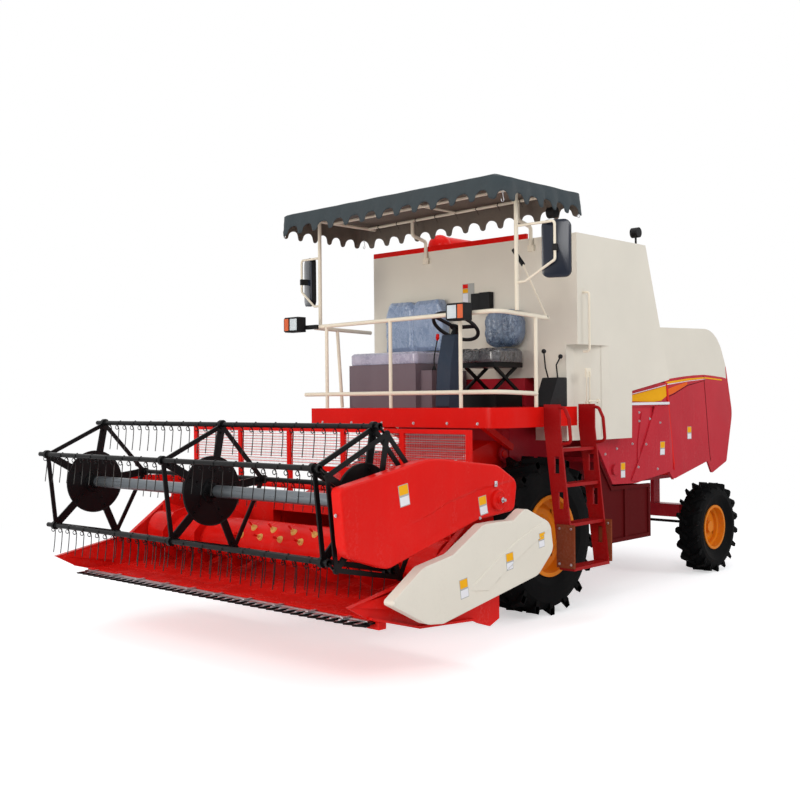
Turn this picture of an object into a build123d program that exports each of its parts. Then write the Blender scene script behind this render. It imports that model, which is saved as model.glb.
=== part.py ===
from build123d import *
import math
import os

os.makedirs("parts", exist_ok=True)

# A self-propelled grain combine harvester with a tined pick-up reel and an open driver's platform.
# Millimetres. +X is the machine's left, -Y its front, +Z up.
# Places are counted from the ground under the middle of the front axle.
CHASSIS_X = -160  # chassis centreline, from the middle of the whole width
AXLE_Y = -116  # front axle, from the middle of the whole length

# ---- running gear
FRONT_TYRE_D, FRONT_TYRE_W, FRONT_RIM_D, FRONT_RIM_W = 1265, 378, 610, 330
REAR_TYRE_D, REAR_TYRE_W, REAR_RIM_D, REAR_RIM_W = 880, 234, 406, 152
FRONT_TRACK, REAR_TRACK, WHEELBASE = 1690, 1850, 2820
FRONT_LUGS, REAR_LUGS = 18, 18
RIM_WALL = 10
SEAT = 0.3  # gap between a piece and what carries it
FRONT_HUB_BORE_GAP, HUB_D = 0.3, 150
KINGPIN_X, KINGPIN_D = 700, 40

# ---- body
BODY_HALF, PANEL_X, PANEL_WALL = 620, 1020, 25
TANK_HALF, TANK_FRONT, TANK_TOP, TANK_WALL = 1140, 214, 3070, 25
TANK_SILL, TANK_FLOOR, TANK_POCKET_X = 1385, 1950, 720
HOOD_HALF, HOOD_WALL, HOOD_CORNER = 1000, 18, 140

# ---- driver's platform
DECK_LEFT, DECK_RIGHT, DECK_FRONT, DECK_REAR = 1141, -943, -784, 196
DECK_TOP, DECK_DEEP, DECK_CORNER, DECK_PLATE = 1665, 153, 170, 12
RAIL_D, RAIL_TOP, RAIL_MID = 34, 2400, 1785
DECK_BASE = DECK_TOP - DECK_DEEP
POST_D, POST_LEFT, POST_RIGHT, POST_Y = 32, 1112, -1016, -560
ROOF_LEFT, ROOF_RIGHT, ROOF_TUBE_D = 3358, 3320, 28  # middle of the canopy's side tubes

# ---- header and reel
HEADER_LEFT, HEADER_RIGHT, SHEET = 1660, -1470, 20
KNIFE_Y, KNIFE_Z = -2700, 455
AUGER_Y, AUGER_Z, AUGER_TUBE_D, AUGER_FLIGHT_D = -1980, 700, 300, 450
AUGER_PITCH, FLIGHT_WALL, TROUGH_GAP, AUGER_SHAFT_D = 400, 8, 18, 70
FEEDER_RIGHT, FEEDER_LEFT = -370, 570
LIFT_Y, LIFT_Z, LIFT_PIN_D = -80, 1280, 60
LIFT_BASE, LIFT_EYE = (-150, 560), (-1150, 465)
CYL_X = (FEEDER_RIGHT + 60, FEEDER_LEFT - 60)
REEL_Y, REEL_Z, REEL_R, REEL_BARS, REEL_PHASE = -2660, 1130, 455, 5, -11.5
REEL_TUBE_D, BAR_D, TINE_PITCH, TINE_LENGTH, TINE_D = 80, 34, 100, 192, 7
REEL_PIVOT_Y, REEL_PIVOT_Z = -1658, 1087
SPIDER_X = (-1360, 100, 1545)
CRANK = 62


def side(x):
    """The upright plane at x, drawn in (y, z), facing the machine's left."""
    return Plane(origin=(CHASSIS_X + x, AXLE_Y, 0), x_dir=(0, 1, 0), z_dir=(1, 0, 0))


def front(y):
    """The upright plane at y, drawn in (x, z), facing forwards."""
    return Plane(origin=(CHASSIS_X, AXLE_Y + y, 0), x_dir=(1, 0, 0), z_dir=(0, -1, 0))


def level(z):
    """The level plane at z, drawn in (x, y)."""
    return Plane(origin=(CHASSIS_X, AXLE_Y, z))


GROUND = level(0)


def at(x, y, z):
    """A point given in machine places, in the part's own frame."""
    return (CHASSIS_X + x, AXLE_Y + y, z)


def slab(outline, x0, x1, corner=0, mode=Mode.ADD):
    """A (y, z) outline, its corners rounded, drawn across from x0 to x1."""
    with BuildSketch(side(x0)) as face:
        with BuildLine():
            Polyline(*outline, close=True)
        make_face()
        if corner:
            fillet(face.vertices(), corner)
    extrude(face.sketch, amount=x1 - x0, mode=mode)


def shaped(corners, x0, x1, inset=0, mode=Mode.ADD):
    """A (y, z, radius) table of rounded corners drawn across from x0 to x1."""
    with BuildSketch(side(x0)) as face:
        with BuildLine():
            FilletPolyline(*[(y, z) for y, z, r in corners], radius=[r for y, z, r in corners], close=True)
        make_face()
        if inset:
            offset(amount=-inset)
    extrude(face.sketch, amount=x1 - x0, mode=mode)


def panel(outline, y0, y1, corner=0, mode=Mode.ADD):
    """An (x, z) outline drawn from y0 back to y1."""
    with BuildSketch(front(y1)) as face:
        with BuildLine():
            Polyline(*outline, close=True)
        make_face()
        if corner:
            fillet(face.vertices(), corner)
    extrude(face.sketch, amount=y1 - y0, mode=mode)


def plate(outline, z0, z1, corner=0, mode=Mode.ADD):
    """An (x, y) outline drawn from z0 up to z1."""
    with BuildSketch(level(z0)) as face:
        with BuildLine():
            Polyline(*outline, close=True)
        make_face()
        if corner:
            fillet(face.vertices(), corner)
    extrude(face.sketch, amount=z1 - z0, mode=mode)


def block(x0, x1, y0, y1, z0, z1, mode=Mode.ADD):
    """A rectangular block between two corners, in machine places."""
    with Locations(at((x0 + x1) / 2, (y0 + y1) / 2, (z0 + z1) / 2)):
        Box(abs(x1 - x0), abs(y1 - y0), abs(z1 - z0), mode=mode)


def across(y, z, x0, x1, diameter, mode=Mode.ADD):
    """A round bar or bore along X."""
    with BuildSketch(side(x0)) as face:
        with Locations((y, z)):
            Circle(diameter / 2)
    extrude(face.sketch, amount=x1 - x0, mode=mode)


def upright(x, y, z0, z1, diameter, mode=Mode.ADD):
    """A round bar or bore along Z."""
    with BuildSketch(level(z0)) as face:
        with Locations((x, y)):
            Circle(diameter / 2)
    extrude(face.sketch, amount=z1 - z0, mode=mode)


def pipe(points, diameter, bend=0):
    """A round tube along straight runs, its corners bent to one radius."""
    with BuildLine(GROUND) as route:
        if bend:
            FilletPolyline(*points, radius=bend)
        else:
            Polyline(*points)
    wire = route.wire()
    with BuildSketch(Plane(origin=wire @ 0, z_dir=wire % 0)) as section:
        Circle(diameter / 2)
    sweep(section.sketch, path=wire, transition=Transition.TRANSFORMED if bend else Transition.ROUND)


def strut(a, b, wide, deep):
    """A straight bar of rectangular section from a to b, wide across X."""
    start, end = Vector(*at(*a)), Vector(*at(*b))
    run = end - start
    side_way = Vector(1, 0, 0) if abs(run.normalized().X) < 0.9 else Vector(0, 1, 0)
    with BuildSketch(Plane(origin=start, x_dir=side_way - run.normalized() * side_way.dot(run.normalized()),
                           z_dir=run)) as section:
        Rectangle(wide, deep)
    extrude(section.sketch, amount=run.length)


# ---------------------------------------------------------------- wheels
def wheel_axis(x, y, z):
    return Axis(at(x, y, z), (1, 0, 0))


def ring_about(outline, x, y, z):
    """Turns an (axial, radial) outline about the wheel's axle."""
    with BuildSketch(Plane(origin=at(x, y, z), x_dir=(1, 0, 0), z_dir=(0, -1, 0))) as face:
        with BuildLine():
            Polyline(*outline, close=True)
        make_face()
    revolve(face.sketch, axis=wheel_axis(x, y, z))


def tyre(x, y, diameter, width, rim_d, rim_w, lugs, lug_high):
    """A tractor tyre: carcass with bulged walls, and bars that slope from the crown to the shoulders."""
    radius, rim_r, half = diameter / 2, rim_d / 2, width / 2
    crown, bead = radius - lug_high, rim_w / 2
    wall = [
        (bead, rim_r), (bead, 1.08 * rim_r), (bead + 0.06 * width, rim_r + 0.3 * (crown - rim_r)), (half, rim_r + 0.58 * (crown - rim_r)),
        (half - 0.01 * width, rim_r + 0.76 * (crown - rim_r)), (half - 0.09 * width, crown - 0.08 * (crown - rim_r)),
        (half - 0.25 * width, crown),
    ]
    ring_about([(-a, r) for a, r in wall] + [(a, r) for a, r in reversed(wall)], x, y, radius)
    bar, slope, reach = 0.1 * width + 4, 0.26 * width, half - 0.015 * width
    drop = math.hypot(radius, slope + bar) - radius
    top, deep = diameter - drop, 0.34 * (crown - rim_r)
    for hand in (1, -1):
        with BuildSketch(Plane(origin=at(x, y, top - deep))) as plan:
            Polygon((-8 * hand, -bar), (-8 * hand, 0), (reach * hand, slope + bar), (reach * hand, slope), align=None)
        with BuildPart(mode=Mode.PRIVATE) as one:
            extrude(plan.sketch, amount=deep)
        turn = 360 / lugs
        first = turn / 2 if hand > 0 else 0
        add([one.part.rotate(wheel_axis(x, y, radius), first + turn * k) for k in range(lugs)])


def rim(x, y, z, rim_d, rim_w, hand, disc_in, hole_count, hole_r, hole_at):
    """A drop-centre rim with its flanges, and a dished disc on the hub; hand is +1 with the outside to the left."""
    r, half = rim_d / 2, rim_w / 2
    lip, well = r + 0.07 * r, r - 0.13 * r
    t = RIM_WALL
    bed = [(-half - t, lip), (-half, lip), (-half, r), (-0.3 * half, r), (-0.2 * half, well), (0.2 * half, well),
           (0.3 * half, r), (half, r), (half, lip), (half + t, lip), (half + t, r - t), (0.35 * half, r - t),
           (0.25 * half, well - t), (-0.25 * half, well - t), (-0.35 * half, r - t), (-half - t, r - t)]
    bed = [(a, min(q, r) if abs(a) < half else q) for a, q in bed]
    ring_about(bed, x, y, z)
    face = half - disc_in
    dish = [(face, 0.02), (face, 0.42 * r), (face + 0.18 * half, 0.55 * r), (face + 0.18 * half, 0.7 * r),
            (face - 0.1 * half, r - t), (face - 0.1 * half - 12, r - t - 14), (face + 0.18 * half - 12, 0.66 * r),
            (face + 0.18 * half - 12, 0.57 * r), (face - 12, 0.45 * r), (face - 12, 0.02)]
    ring_about([(a * hand, q) for a, q in dish], x, y, z)
    with PolarLocationsAbout(x, y, z, hole_at * r, hole_count):
        Cylinder(hole_r, 4 * half, rotation=(0, 90, 0), mode=Mode.SUBTRACT)


def PolarLocationsAbout(x, y, z, radius, count):
    """Places round the axle of a wheel."""
    spots = [at(x, y + radius * math.sin(2 * math.pi * k / count), z + radius * math.cos(2 * math.pi * k / count))
             for k in range(count)]
    return Locations(*spots)


FRONT_R, REAR_R = FRONT_TYRE_D / 2, REAR_TYRE_D / 2
FRONT_X, REAR_X = FRONT_TRACK / 2, REAR_TRACK / 2
for hand, name in ((1, "left"), (-1, "right")):
    with BuildPart() as front_tyre:
        tyre(hand * FRONT_X, 0, FRONT_TYRE_D, FRONT_TYRE_W, FRONT_RIM_D, FRONT_RIM_W, FRONT_LUGS, 36)
    front_tyre.part.label = f"front_tyre_{name}"
    export_step(front_tyre.part, f"parts/front_tyre_{name}.step")

    with BuildPart() as front_rim:
        rim(hand * FRONT_X, 0, FRONT_R, FRONT_RIM_D, FRONT_RIM_W, hand, 130, 8, 20, 0.80)
        across(0, FRONT_R, hand * (FRONT_X - 20), hand * (FRONT_X + 90), HUB_D)
    front_rim.part.label = f"front_rim_{name}"
    export_step(front_rim.part, f"parts/front_rim_{name}.step")

    with BuildPart() as rear_tyre:
        tyre(hand * REAR_X, WHEELBASE, REAR_TYRE_D, REAR_TYRE_W, REAR_RIM_D, REAR_RIM_W, REAR_LUGS, 28)
    rear_tyre.part.label = f"rear_tyre_{name}"
    export_step(rear_tyre.part, f"parts/rear_tyre_{name}.step")

    with BuildPart() as rear_rim:
        rim(hand * REAR_X, WHEELBASE, REAR_R, REAR_RIM_D, REAR_RIM_W, hand, 90, 3, 22, 0.66)
        across(WHEELBASE, REAR_R, hand * (REAR_X - 60), hand * (REAR_X + 40), 110)
        across(WHEELBASE, REAR_R, hand * (REAR_X - 62), hand * (REAR_X - 10), 50.5, mode=Mode.SUBTRACT)
    rear_rim.part.label = f"rear_rim_{name}"
    export_step(rear_rim.part, f"parts/rear_rim_{name}.step")

    # knuckle: kingpin post, stub axle in the wheel's hub, and a steering arm to the rear
    with BuildPart() as knuckle:
        upright(hand * KINGPIN_X, WHEELBASE, REAR_R - 70, REAR_R + 60, 76)
        upright(hand * KINGPIN_X, WHEELBASE, REAR_R + 60, REAR_R + 212, KINGPIN_D)
        across(WHEELBASE, REAR_R, hand * KINGPIN_X, hand * (REAR_X - 14), 50)
        strut((hand * KINGPIN_X, WHEELBASE, REAR_R - 40), (hand * KINGPIN_X, WHEELBASE + 190, REAR_R - 40), 40, 24)
        upright(hand * KINGPIN_X, WHEELBASE + 190, REAR_R - 60, REAR_R + 16, 26)
    knuckle.part.label = f"knuckle_{name}"
    export_step(knuckle.part, f"parts/knuckle_{name}.step")

RAIL_BASE, RAIL_DEEP, SADDLE = 905, 55, 1905  # chassis rails and the seat of the grain tank
# ---------------------------------------------------------------- axles
with BuildPart() as front_axle:
    across(0, FRONT_R, -(FRONT_X - 205), FRONT_X - 205, 170)
    for hand in (1, -1):
        across(0, FRONT_R, hand * (FRONT_X - 260), hand * (FRONT_X - 195), 330)
        across(0, FRONT_R, hand * (FRONT_X - 195), hand * (FRONT_X - 20 - SEAT), 130)
        block(hand * 380, hand * 500, -60, 60, FRONT_R + 60, 905)
    across(0, FRONT_R, -230, 0, 330)
    block(-260, -130, 60, 360, FRONT_R - 110, FRONT_R + 120)
    for x in CYL_X:
        for x0, x1 in ((x - 36, x - 24), (x + 24, x + 36)):
            slab([(-190, 520), (-190, 600), (-70, FRONT_R + 40), (-70, FRONT_R - 60)], x0, x1)
        across(*LIFT_BASE, x - 36, x + 36, 30)
front_axle.part.label = "front_axle"
export_step(front_axle.part, "parts/front_axle.step")

with BuildPart() as rear_axle:
    block(-KINGPIN_X + 45, KINGPIN_X - 45, WHEELBASE - 65, WHEELBASE + 65, REAR_R + 78, REAR_R + 208)
    block(-KINGPIN_X + 80, KINGPIN_X - 80, WHEELBASE - 53, WHEELBASE + 53, REAR_R + 90, REAR_R + 196, mode=Mode.SUBTRACT)
    for hand in (1, -1):
        upright(hand * KINGPIN_X, WHEELBASE, REAR_R + 66, REAR_R + 208, 100)
        upright(hand * KINGPIN_X, WHEELBASE, REAR_R + 60, REAR_R + 214, KINGPIN_D + 0.1, mode=Mode.SUBTRACT)
    for hand in (1, -1):
        block(hand * 330, hand * 370, WHEELBASE - 60, WHEELBASE + 60, REAR_R + 208, RAIL_BASE - SEAT)
rear_axle.part.label = "rear_axle"
export_step(rear_axle.part, "parts/rear_axle.step")

with BuildPart() as tie_rod:
    across(WHEELBASE + 190, REAR_R + 4, -(KINGPIN_X - 30), KINGPIN_X - 30, 28)
    for hand in (1, -1):
        upright(hand * KINGPIN_X, WHEELBASE + 190, REAR_R - 12, REAR_R + 16 + 6, 64)
        upright(hand * KINGPIN_X, WHEELBASE + 190, REAR_R - 30, REAR_R + 30, 27, mode=Mode.SUBTRACT)
tie_rod.part.label = "tie_rod"
export_step(tie_rod.part, "parts/tie_rod.step")

# ---------------------------------------------------------------- threshing body
RAIL_REAR = WHEELBASE + 180
TOW_Y, TOW_BORE_D = RAIL_REAR + 60, 25.5
with BuildPart() as body:
    slab([(-20, DECK_BASE - SEAT), (-20, 960), (260, 830), (1650, 830), (2060, 990), (2500, 1180), (2500, SADDLE - SEAT),
          (205, SADDLE - SEAT), (205, DECK_BASE - SEAT)], -BODY_HALF, BODY_HALF)
    for hand in (1, -1):
        block(hand * 440, hand * 500, 0, RAIL_REAR, RAIL_BASE, RAIL_BASE + RAIL_DEEP)
        for y in (2200, 2440):
            block(hand * BODY_HALF, hand * (HOOD_HALF - HOOD_WALL - SEAT), y, y + 40, 1300, 1340)
    for y in (WHEELBASE - 60, RAIL_REAR - 80):
        block(-440, 440, y, y + 80, RAIL_BASE, RAIL_BASE + RAIL_DEEP)
    for z in (RAIL_BASE - 18, RAIL_BASE + RAIL_DEEP):
        plate([(-55, RAIL_REAR - 70), (55, RAIL_REAR - 70), (55, TOW_Y + 35), (-55, TOW_Y + 35)], z, z + 18)
    upright(0, TOW_Y, RAIL_BASE - 20, RAIL_BASE + RAIL_DEEP + 20, TOW_BORE_D, mode=Mode.SUBTRACT)
    for x in (FEEDER_RIGHT - 40, FEEDER_LEFT + 20):
        slab([(-20, 1180), (-20, 1380), (LIFT_Y - 30, LIFT_Z + 50), (LIFT_Y - 50, LIFT_Z), (LIFT_Y - 30, LIFT_Z - 50)],
             x, x + 20)
        across(LIFT_Y, LIFT_Z, x - 5, x + 25, LIFT_PIN_D + 2 * SEAT, mode=Mode.SUBTRACT)
body.part.label = "body"
export_step(body.part, "parts/body.step")

PANEL = [(640, 1375), (1050, 1375), (1062, 1775), (1740, 1866), (1870, 1866), (2030, 1330), (1984, 962), (1900, 1040),
         (1300, 971), (920, 985)]
SHIELD = [(690, 476), (1570, 476), (1570, 955), (925, 965), (690, 1270)]
WINDOWS = ([(720, 510), (1130, 510), (1130, 930), (915, 932), (720, 1190)],
           [(1170, 510), (1535, 510), (1535, 922), (1170, 928)])
with BuildPart() as side_panels:
    for hand in (1, -1):
        slab(PANEL, hand * (PANEL_X - PANEL_WALL), hand * PANEL_X)
        slab([(1320, 990), (1330, 1330), (1400, 1600), (1440, 1600), (1370, 1330), (1360, 990)],
             hand * PANEL_X, hand * (PANEL_X + 8))
        block(hand * PANEL_X, hand * (PANEL_X + 14), 1070, 1860, 1650, 1668)
        for y in (760, 1800):
            block(hand * BODY_HALF, hand * (PANEL_X - PANEL_WALL), y, y + 40, 1180, 1220)
        across(940, 1110, hand * PANEL_X, hand * (PANEL_X + 22), 90)
side_panels.part.label = "side_panels"
export_step(side_panels.part, "parts/side_panels.step")

with BuildPart() as lower_shields:
    for hand in (1, -1):
        slab(SHIELD, hand * 985, hand * 1010)
        for window in WINDOWS:
            slab(window, hand * 980, hand * 1015, mode=Mode.SUBTRACT)
            slab(window, hand * 990, hand * 996)
        for y in (700, 1520):
            block(hand * BODY_HALF, hand * 985, y, y + 40, 915, 945)
            block(hand * 600, hand * 985, y, y + 40, 480, 510)
            block(hand * 570, hand * 600, y, y + 40, 480, 829)
lower_shields.part.label = "lower_shields"
export_step(lower_shields.part, "parts/lower_shields.step")

# ---------------------------------------------------------------- grain tank
with BuildPart() as grain_tank:
    outer = [(TANK_FRONT, TANK_TOP), (1300, TANK_TOP), (1700, 1890), (1050, 1790), (1040, TANK_SILL),
             (TANK_FRONT, TANK_SILL)]
    slab(outer, -TANK_HALF, TANK_HALF)
    inner = [(TANK_FRONT + 25, TANK_TOP + 60), (1290, TANK_TOP + 60), (1290, TANK_TOP - 25), (1664, 1912), (1028, 1814),
             (1015, TANK_SILL + 25), (TANK_FRONT + 25, TANK_SILL + 25)]
    slab(inner, -TANK_HALF + 25, TANK_HALF - 25, mode=Mode.SUBTRACT)
    saddle = [(TANK_FRONT - 10, TANK_SILL - 10), (1900, TANK_SILL - 10), (1900, SADDLE), (TANK_FRONT - 10, SADDLE)]
    with BuildPart(mode=Mode.PRIVATE) as tunnel:
        slab([(TANK_FRONT, TANK_SILL), (1040, TANK_SILL), (1050, 1790), (1700, 1890), (1650, 1950),
              (TANK_FRONT, 1950)], -TANK_POCKET_X - 25, TANK_POCKET_X + 25)
    add(tunnel.part)
    slab(saddle, -TANK_POCKET_X, TANK_POCKET_X, mode=Mode.SUBTRACT)
    for hand in (1, -1):
        corner = [(hand * (TANK_HALF + 5), 700), (hand * (TANK_HALF + 5), TANK_FRONT - 5), (hand * 1030, TANK_FRONT - 5),
                  (hand * 1030, 320)]
        with BuildPart(mode=Mode.PRIVATE) as access:
            plate(corner, TANK_SILL - 5, 2167)
        filler = [(hand * (TANK_HALF - 12), 705), (hand * (1005), 330), (hand * 1005, TANK_FRONT),
                  (hand * 1030, TANK_FRONT), (hand * 1030, 320), (hand * TANK_HALF, 700)]
        plate(filler, TANK_SILL, 2180)
        add(access.part, mode=Mode.SUBTRACT)
    block(-TANK_HALF + 25, TANK_HALF - 25, 700, 740, 2980, 3020)
grain_tank.part.label = "grain_tank"
export_step(grain_tank.part, "parts/grain_tank.step")

RIM_LEFT, RIM_DEEP = 640, 45
with BuildPart() as tank_rim:
    block(-TANK_HALF, RIM_LEFT, TANK_FRONT, TANK_FRONT + 30, TANK_TOP, TANK_TOP + RIM_DEEP)
    block(-TANK_HALF, -TANK_HALF + 30, TANK_FRONT + 30, 1270, TANK_TOP, TANK_TOP + RIM_DEEP)
tank_rim.part.label = "tank_rim"
export_step(tank_rim.part, "parts/tank_rim.step")

# ---------------------------------------------------------------- rear hood
# corners of the hood's side view: y, z, corner radius
HOOD = ((1545, 2370, 5), (2905, 2405, 420), (3110, 2030, 150), (3242, 1565, 260), (3105, 1080, 30), (2785, 976, 30),
        (2700, 1100, 30), (2010, 960, 30), (2060, 1330, 30), (1885, 1870, 30), (1705, 1890, 30))
HOOD_INNER = ((1400, 2352, 0), (2895, 2387, 402), (3092, 2026, 132), (3223, 1563, 242), (3086, 1075, 0),
              (3086, 900, 0), (1400, 900, 0))
HOOD_SPLIT = [(1880, 1918), (3300, 2052)]
with BuildPart() as hood_shell:
    shaped(HOOD, -HOOD_HALF, HOOD_HALF)
    shaped(HOOD_INNER, -HOOD_HALF + HOOD_WALL, HOOD_HALF - HOOD_WALL, 0, Mode.SUBTRACT)
split_plane = Plane(origin=at(0, *HOOD_SPLIT[0]), x_dir=(1, 0, 0),
                    z_dir=(0, HOOD_SPLIT[0][1] - HOOD_SPLIT[1][1], HOOD_SPLIT[1][0] - HOOD_SPLIT[0][0]))
with BuildPart() as hood_top:
    add(hood_shell.part)
    split(bisect_by=split_plane, keep=Keep.TOP)
hood_top.part.label = "hood_top"
export_step(hood_top.part, "parts/hood_top.step")
with BuildPart() as hood_sides:
    add(hood_shell.part)
    split(bisect_by=split_plane, keep=Keep.BOTTOM)
hood_sides.part.label = "hood_sides"
export_step(hood_sides.part, "parts/hood_sides.step")

# ---------------------------------------------------------------- grain elevator and unloading auger
UNLOAD_X, UNLOAD_Y, UNLOAD_Z = -900, 900, 3230
with BuildPart() as grain_elevator:
    slab([(1120, 900), (1330, 900), (1330, 1700), (1120, 1700)], -PANEL_X - 170, -PANEL_X - 20)
    across(1225, 900, -PANEL_X - 170, -PANEL_X - 20, 240)
    block(-PANEL_X - 20, -PANEL_X, 1180, 1270, 1300, 1400)
    upright(UNLOAD_X, UNLOAD_Y, TANK_SILL + 25 + SEAT, UNLOAD_Z - 140, 210)
    upright(UNLOAD_X, UNLOAD_Y, UNLOAD_Z - 170, UNLOAD_Z - 140, 290)
grain_elevator.part.label = "grain_elevator"
export_step(grain_elevator.part, "parts/grain_elevator.step")

with BuildPart() as unload_tube:
    upright(UNLOAD_X, UNLOAD_Y, UNLOAD_Z - 139.7, UNLOAD_Z - 120, 290)
    upright(UNLOAD_X, UNLOAD_Y, UNLOAD_Z - 120, UNLOAD_Z, 210)
    with Locations(at(UNLOAD_X, UNLOAD_Y, UNLOAD_Z)):
        Sphere(116)
    with BuildSketch(front(UNLOAD_Y)) as face:
        with Locations((UNLOAD_X, UNLOAD_Z)):
            Circle(105)
    extrude(face.sketch, amount=-2250)
    with BuildSketch(front(UNLOAD_Y + 2200)) as face:
        with Locations((UNLOAD_X, UNLOAD_Z)):
            Circle(140)
    extrude(face.sketch, amount=-220)
    block(UNLOAD_X - 95, UNLOAD_X + 95, UNLOAD_Y + 2230, UNLOAD_Y + 2400, UNLOAD_Z - 260, UNLOAD_Z)
unload_tube.part.label = "unload_tube"
export_step(unload_tube.part, "parts/unload_tube.step")

# ---------------------------------------------------------------- driver's platform
with BuildPart() as deck:
    plate([(DECK_RIGHT, DECK_FRONT), (DECK_LEFT, DECK_FRONT), (DECK_LEFT, DECK_REAR), (DECK_RIGHT, DECK_REAR)],
          DECK_TOP - DECK_DEEP, DECK_TOP)
    corner = deck.edges().filter_by(Axis.Z).filter_by(
        lambda e: e.center().X > CHASSIS_X + 900 and e.center().Y < AXLE_Y + DECK_FRONT + 5)
    fillet(corner, DECK_CORNER)
    block(DECK_RIGHT + 20, DECK_LEFT - 180, DECK_FRONT + 20, DECK_REAR + 50, DECK_BASE - 1, DECK_TOP - DECK_PLATE,
          mode=Mode.SUBTRACT)
    for y in (0, 140):
        block(-600, 600, y, y + 30, DECK_BASE, DECK_TOP - DECK_PLATE)
    for hand in (1, -1):
        strut((100 + hand * 540, -600, DECK_TOP - 34), (100 + hand * 540, -20, 1330), 50, 50)
    block(-700, 900, -20 - SEAT, 60, 1200, 1500, mode=Mode.SUBTRACT)
deck.part.label = "deck"
export_step(deck.part, "parts/deck.step")

with BuildPart() as railing:
    pipe([(-980, 0, 2352), (-980, -752, 2370), (1085, -752, 2392), (1100, -140, 2363)], RAIL_D, 90)
    pipe([(-1050, -752, RAIL_MID), (1100, -752, RAIL_MID), (1100, -300, RAIL_MID - 15)], RAIL_D, 120)
    for x, z in ((715, 2388), (-24, 2380), (-776, 2372)):
        pipe([(x, -752, DECK_TOP), (x, -752, z)], RAIL_D - 4)
    pipe([(1096, -300, DECK_TOP), (1096, -300, 2371)], RAIL_D - 4)
    pipe([(-925, -428, DECK_TOP + 4), (-980, -428, 2362)], RAIL_D - 4)
    pipe([(TANK_HALF, 300, 2590), (TANK_HALF + 60, 300, 2590), (TANK_HALF + 60, 300, 2110), (TANK_HALF, 300, 2110)], 18, 25)
railing.part.label = "railing"
export_step(railing.part, "parts/railing.step")

with BuildPart() as canopy_frame:
    pipe([(POST_LEFT, POST_Y, 2401), (POST_LEFT, POST_Y, ROOF_LEFT)], POST_D)
    pipe([(POST_RIGHT, -600, 2368), (POST_RIGHT, -600, ROOF_RIGHT)], POST_D)
    pipe([(POST_LEFT, -870, ROOF_LEFT), (POST_LEFT, 110, ROOF_LEFT)], ROOF_TUBE_D)
    pipe([(POST_RIGHT, -870, ROOF_RIGHT), (POST_RIGHT, 110, ROOF_RIGHT)], ROOF_TUBE_D)
    for y in (-850, -420, 20):
        pipe([(POST_RIGHT, y, ROOF_RIGHT), (POST_LEFT, y, ROOF_LEFT)], ROOF_TUBE_D - 4)
    pipe([(48, -850, (ROOF_LEFT + ROOF_RIGHT) / 2), (48, 20, (ROOF_LEFT + ROOF_RIGHT) / 2)], ROOF_TUBE_D - 8)
    for x in (-465, 700):
        pipe([(x, 20, ROOF_RIGHT + 15), (x, 20, ROOF_RIGHT - 120), (x, TANK_FRONT - 16, ROOF_RIGHT - 160),
              (x, TANK_FRONT - 16, 2990)], POST_D, 30)
        block(x - 30, x + 30, TANK_FRONT - 24, TANK_FRONT, 2960, 3010)
canopy_frame.part.label = "canopy_frame"
export_step(canopy_frame.part, "parts/canopy_frame.step")

with BuildPart() as canopy:
    with BuildSketch(front(150)) as face:
        with BuildLine():
            Polyline((-1180, 3235), (-1180, 3300), (-1100, 3345), (1160, 3385), (1240, 3345), (1240, 3270))
            Line((1240, 3270), (-1180, 3235))
        make_face()
    extrude(face.sketch, amount=1060)
    with BuildSketch(front(138)) as face:
        with BuildLine():
            Polyline((-1168, 3200), (-1168, 3292), (-1096, 3333), (1156, 3373), (1228, 3338), (1228, 3200), close=True)
        make_face()
    extrude(face.sketch, amount=1036, mode=Mode.SUBTRACT)
canopy.part.label = "canopy"
export_step(canopy.part, "parts/canopy.step")

# ---------------------------------------------------------------- seats and controls
BENCH_L, BENCH_R, BENCH_FRONT, BENCH_TOP = -130, -930, -330, 2040
with BuildPart() as bench_box:
    block(BENCH_R, BENCH_L, BENCH_FRONT, 190, DECK_TOP, BENCH_TOP)
    block(BENCH_L, BENCH_L + 130, BENCH_FRONT + 60, 190, DECK_TOP, BENCH_TOP - 60)
bench_box.part.label = "bench_box"
export_step(bench_box.part, "parts/bench_box.step")

with BuildPart() as bench_cushion:
    block(BENCH_R - 15, BENCH_L + 20, BENCH_FRONT - 15, 175, BENCH_TOP, BENCH_TOP + 100)
    fillet(bench_cushion.edges().filter_by(Axis.Z), 40)
bench_cushion.part.label = "bench_cushion"
export_step(bench_cushion.part, "parts/bench_cushion.step")

with BuildPart() as bench_back:
    with BuildSketch(front(195)) as face:
        with BuildLine():
            Polyline((-880, 2140), (-900, 2480), (-830, 2640), (-560, 2640), (-520, 2600), (-480, 2640), (-210, 2640),
                     (-150, 2480), (-170, 2140), close=True)
        make_face()
        fillet(face.vertices().sort_by(Axis.Y)[-7:], 30)
    extrude(face.sketch, amount=110)
bench_back.part.label = "bench_back"
export_step(bench_back.part, "parts/bench_back.step")

SEAT_X, SEAT_Y = 470, -60
with BuildPart() as seat_base:
    block(SEAT_X - 190, SEAT_X + 190, SEAT_Y - 190, SEAT_Y + 170, DECK_TOP, 1800)
    block(SEAT_X - 190, SEAT_X + 190, SEAT_Y - 200, SEAT_Y + 180, 1990, 2030)
    for x in (SEAT_X - 160, SEAT_X + 140):
        strut((x, SEAT_Y - 160, 1795), (x, SEAT_Y + 150, 1995), 20, 24)
        strut((x + 21, SEAT_Y + 150, 1795), (x + 21, SEAT_Y - 160, 1995), 20, 24)
seat_base.part.label = "seat_base"
export_step(seat_base.part, "parts/seat_base.step")

with BuildPart() as seat_cushion:
    block(SEAT_X - 230, SEAT_X + 230, SEAT_Y - 230, SEAT_Y + 220, 2030, 2140)
    fillet(seat_cushion.edges().filter_by(Axis.Z), 70)
seat_cushion.part.label = "seat_cushion"
export_step(seat_cushion.part, "parts/seat_cushion.step")

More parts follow.
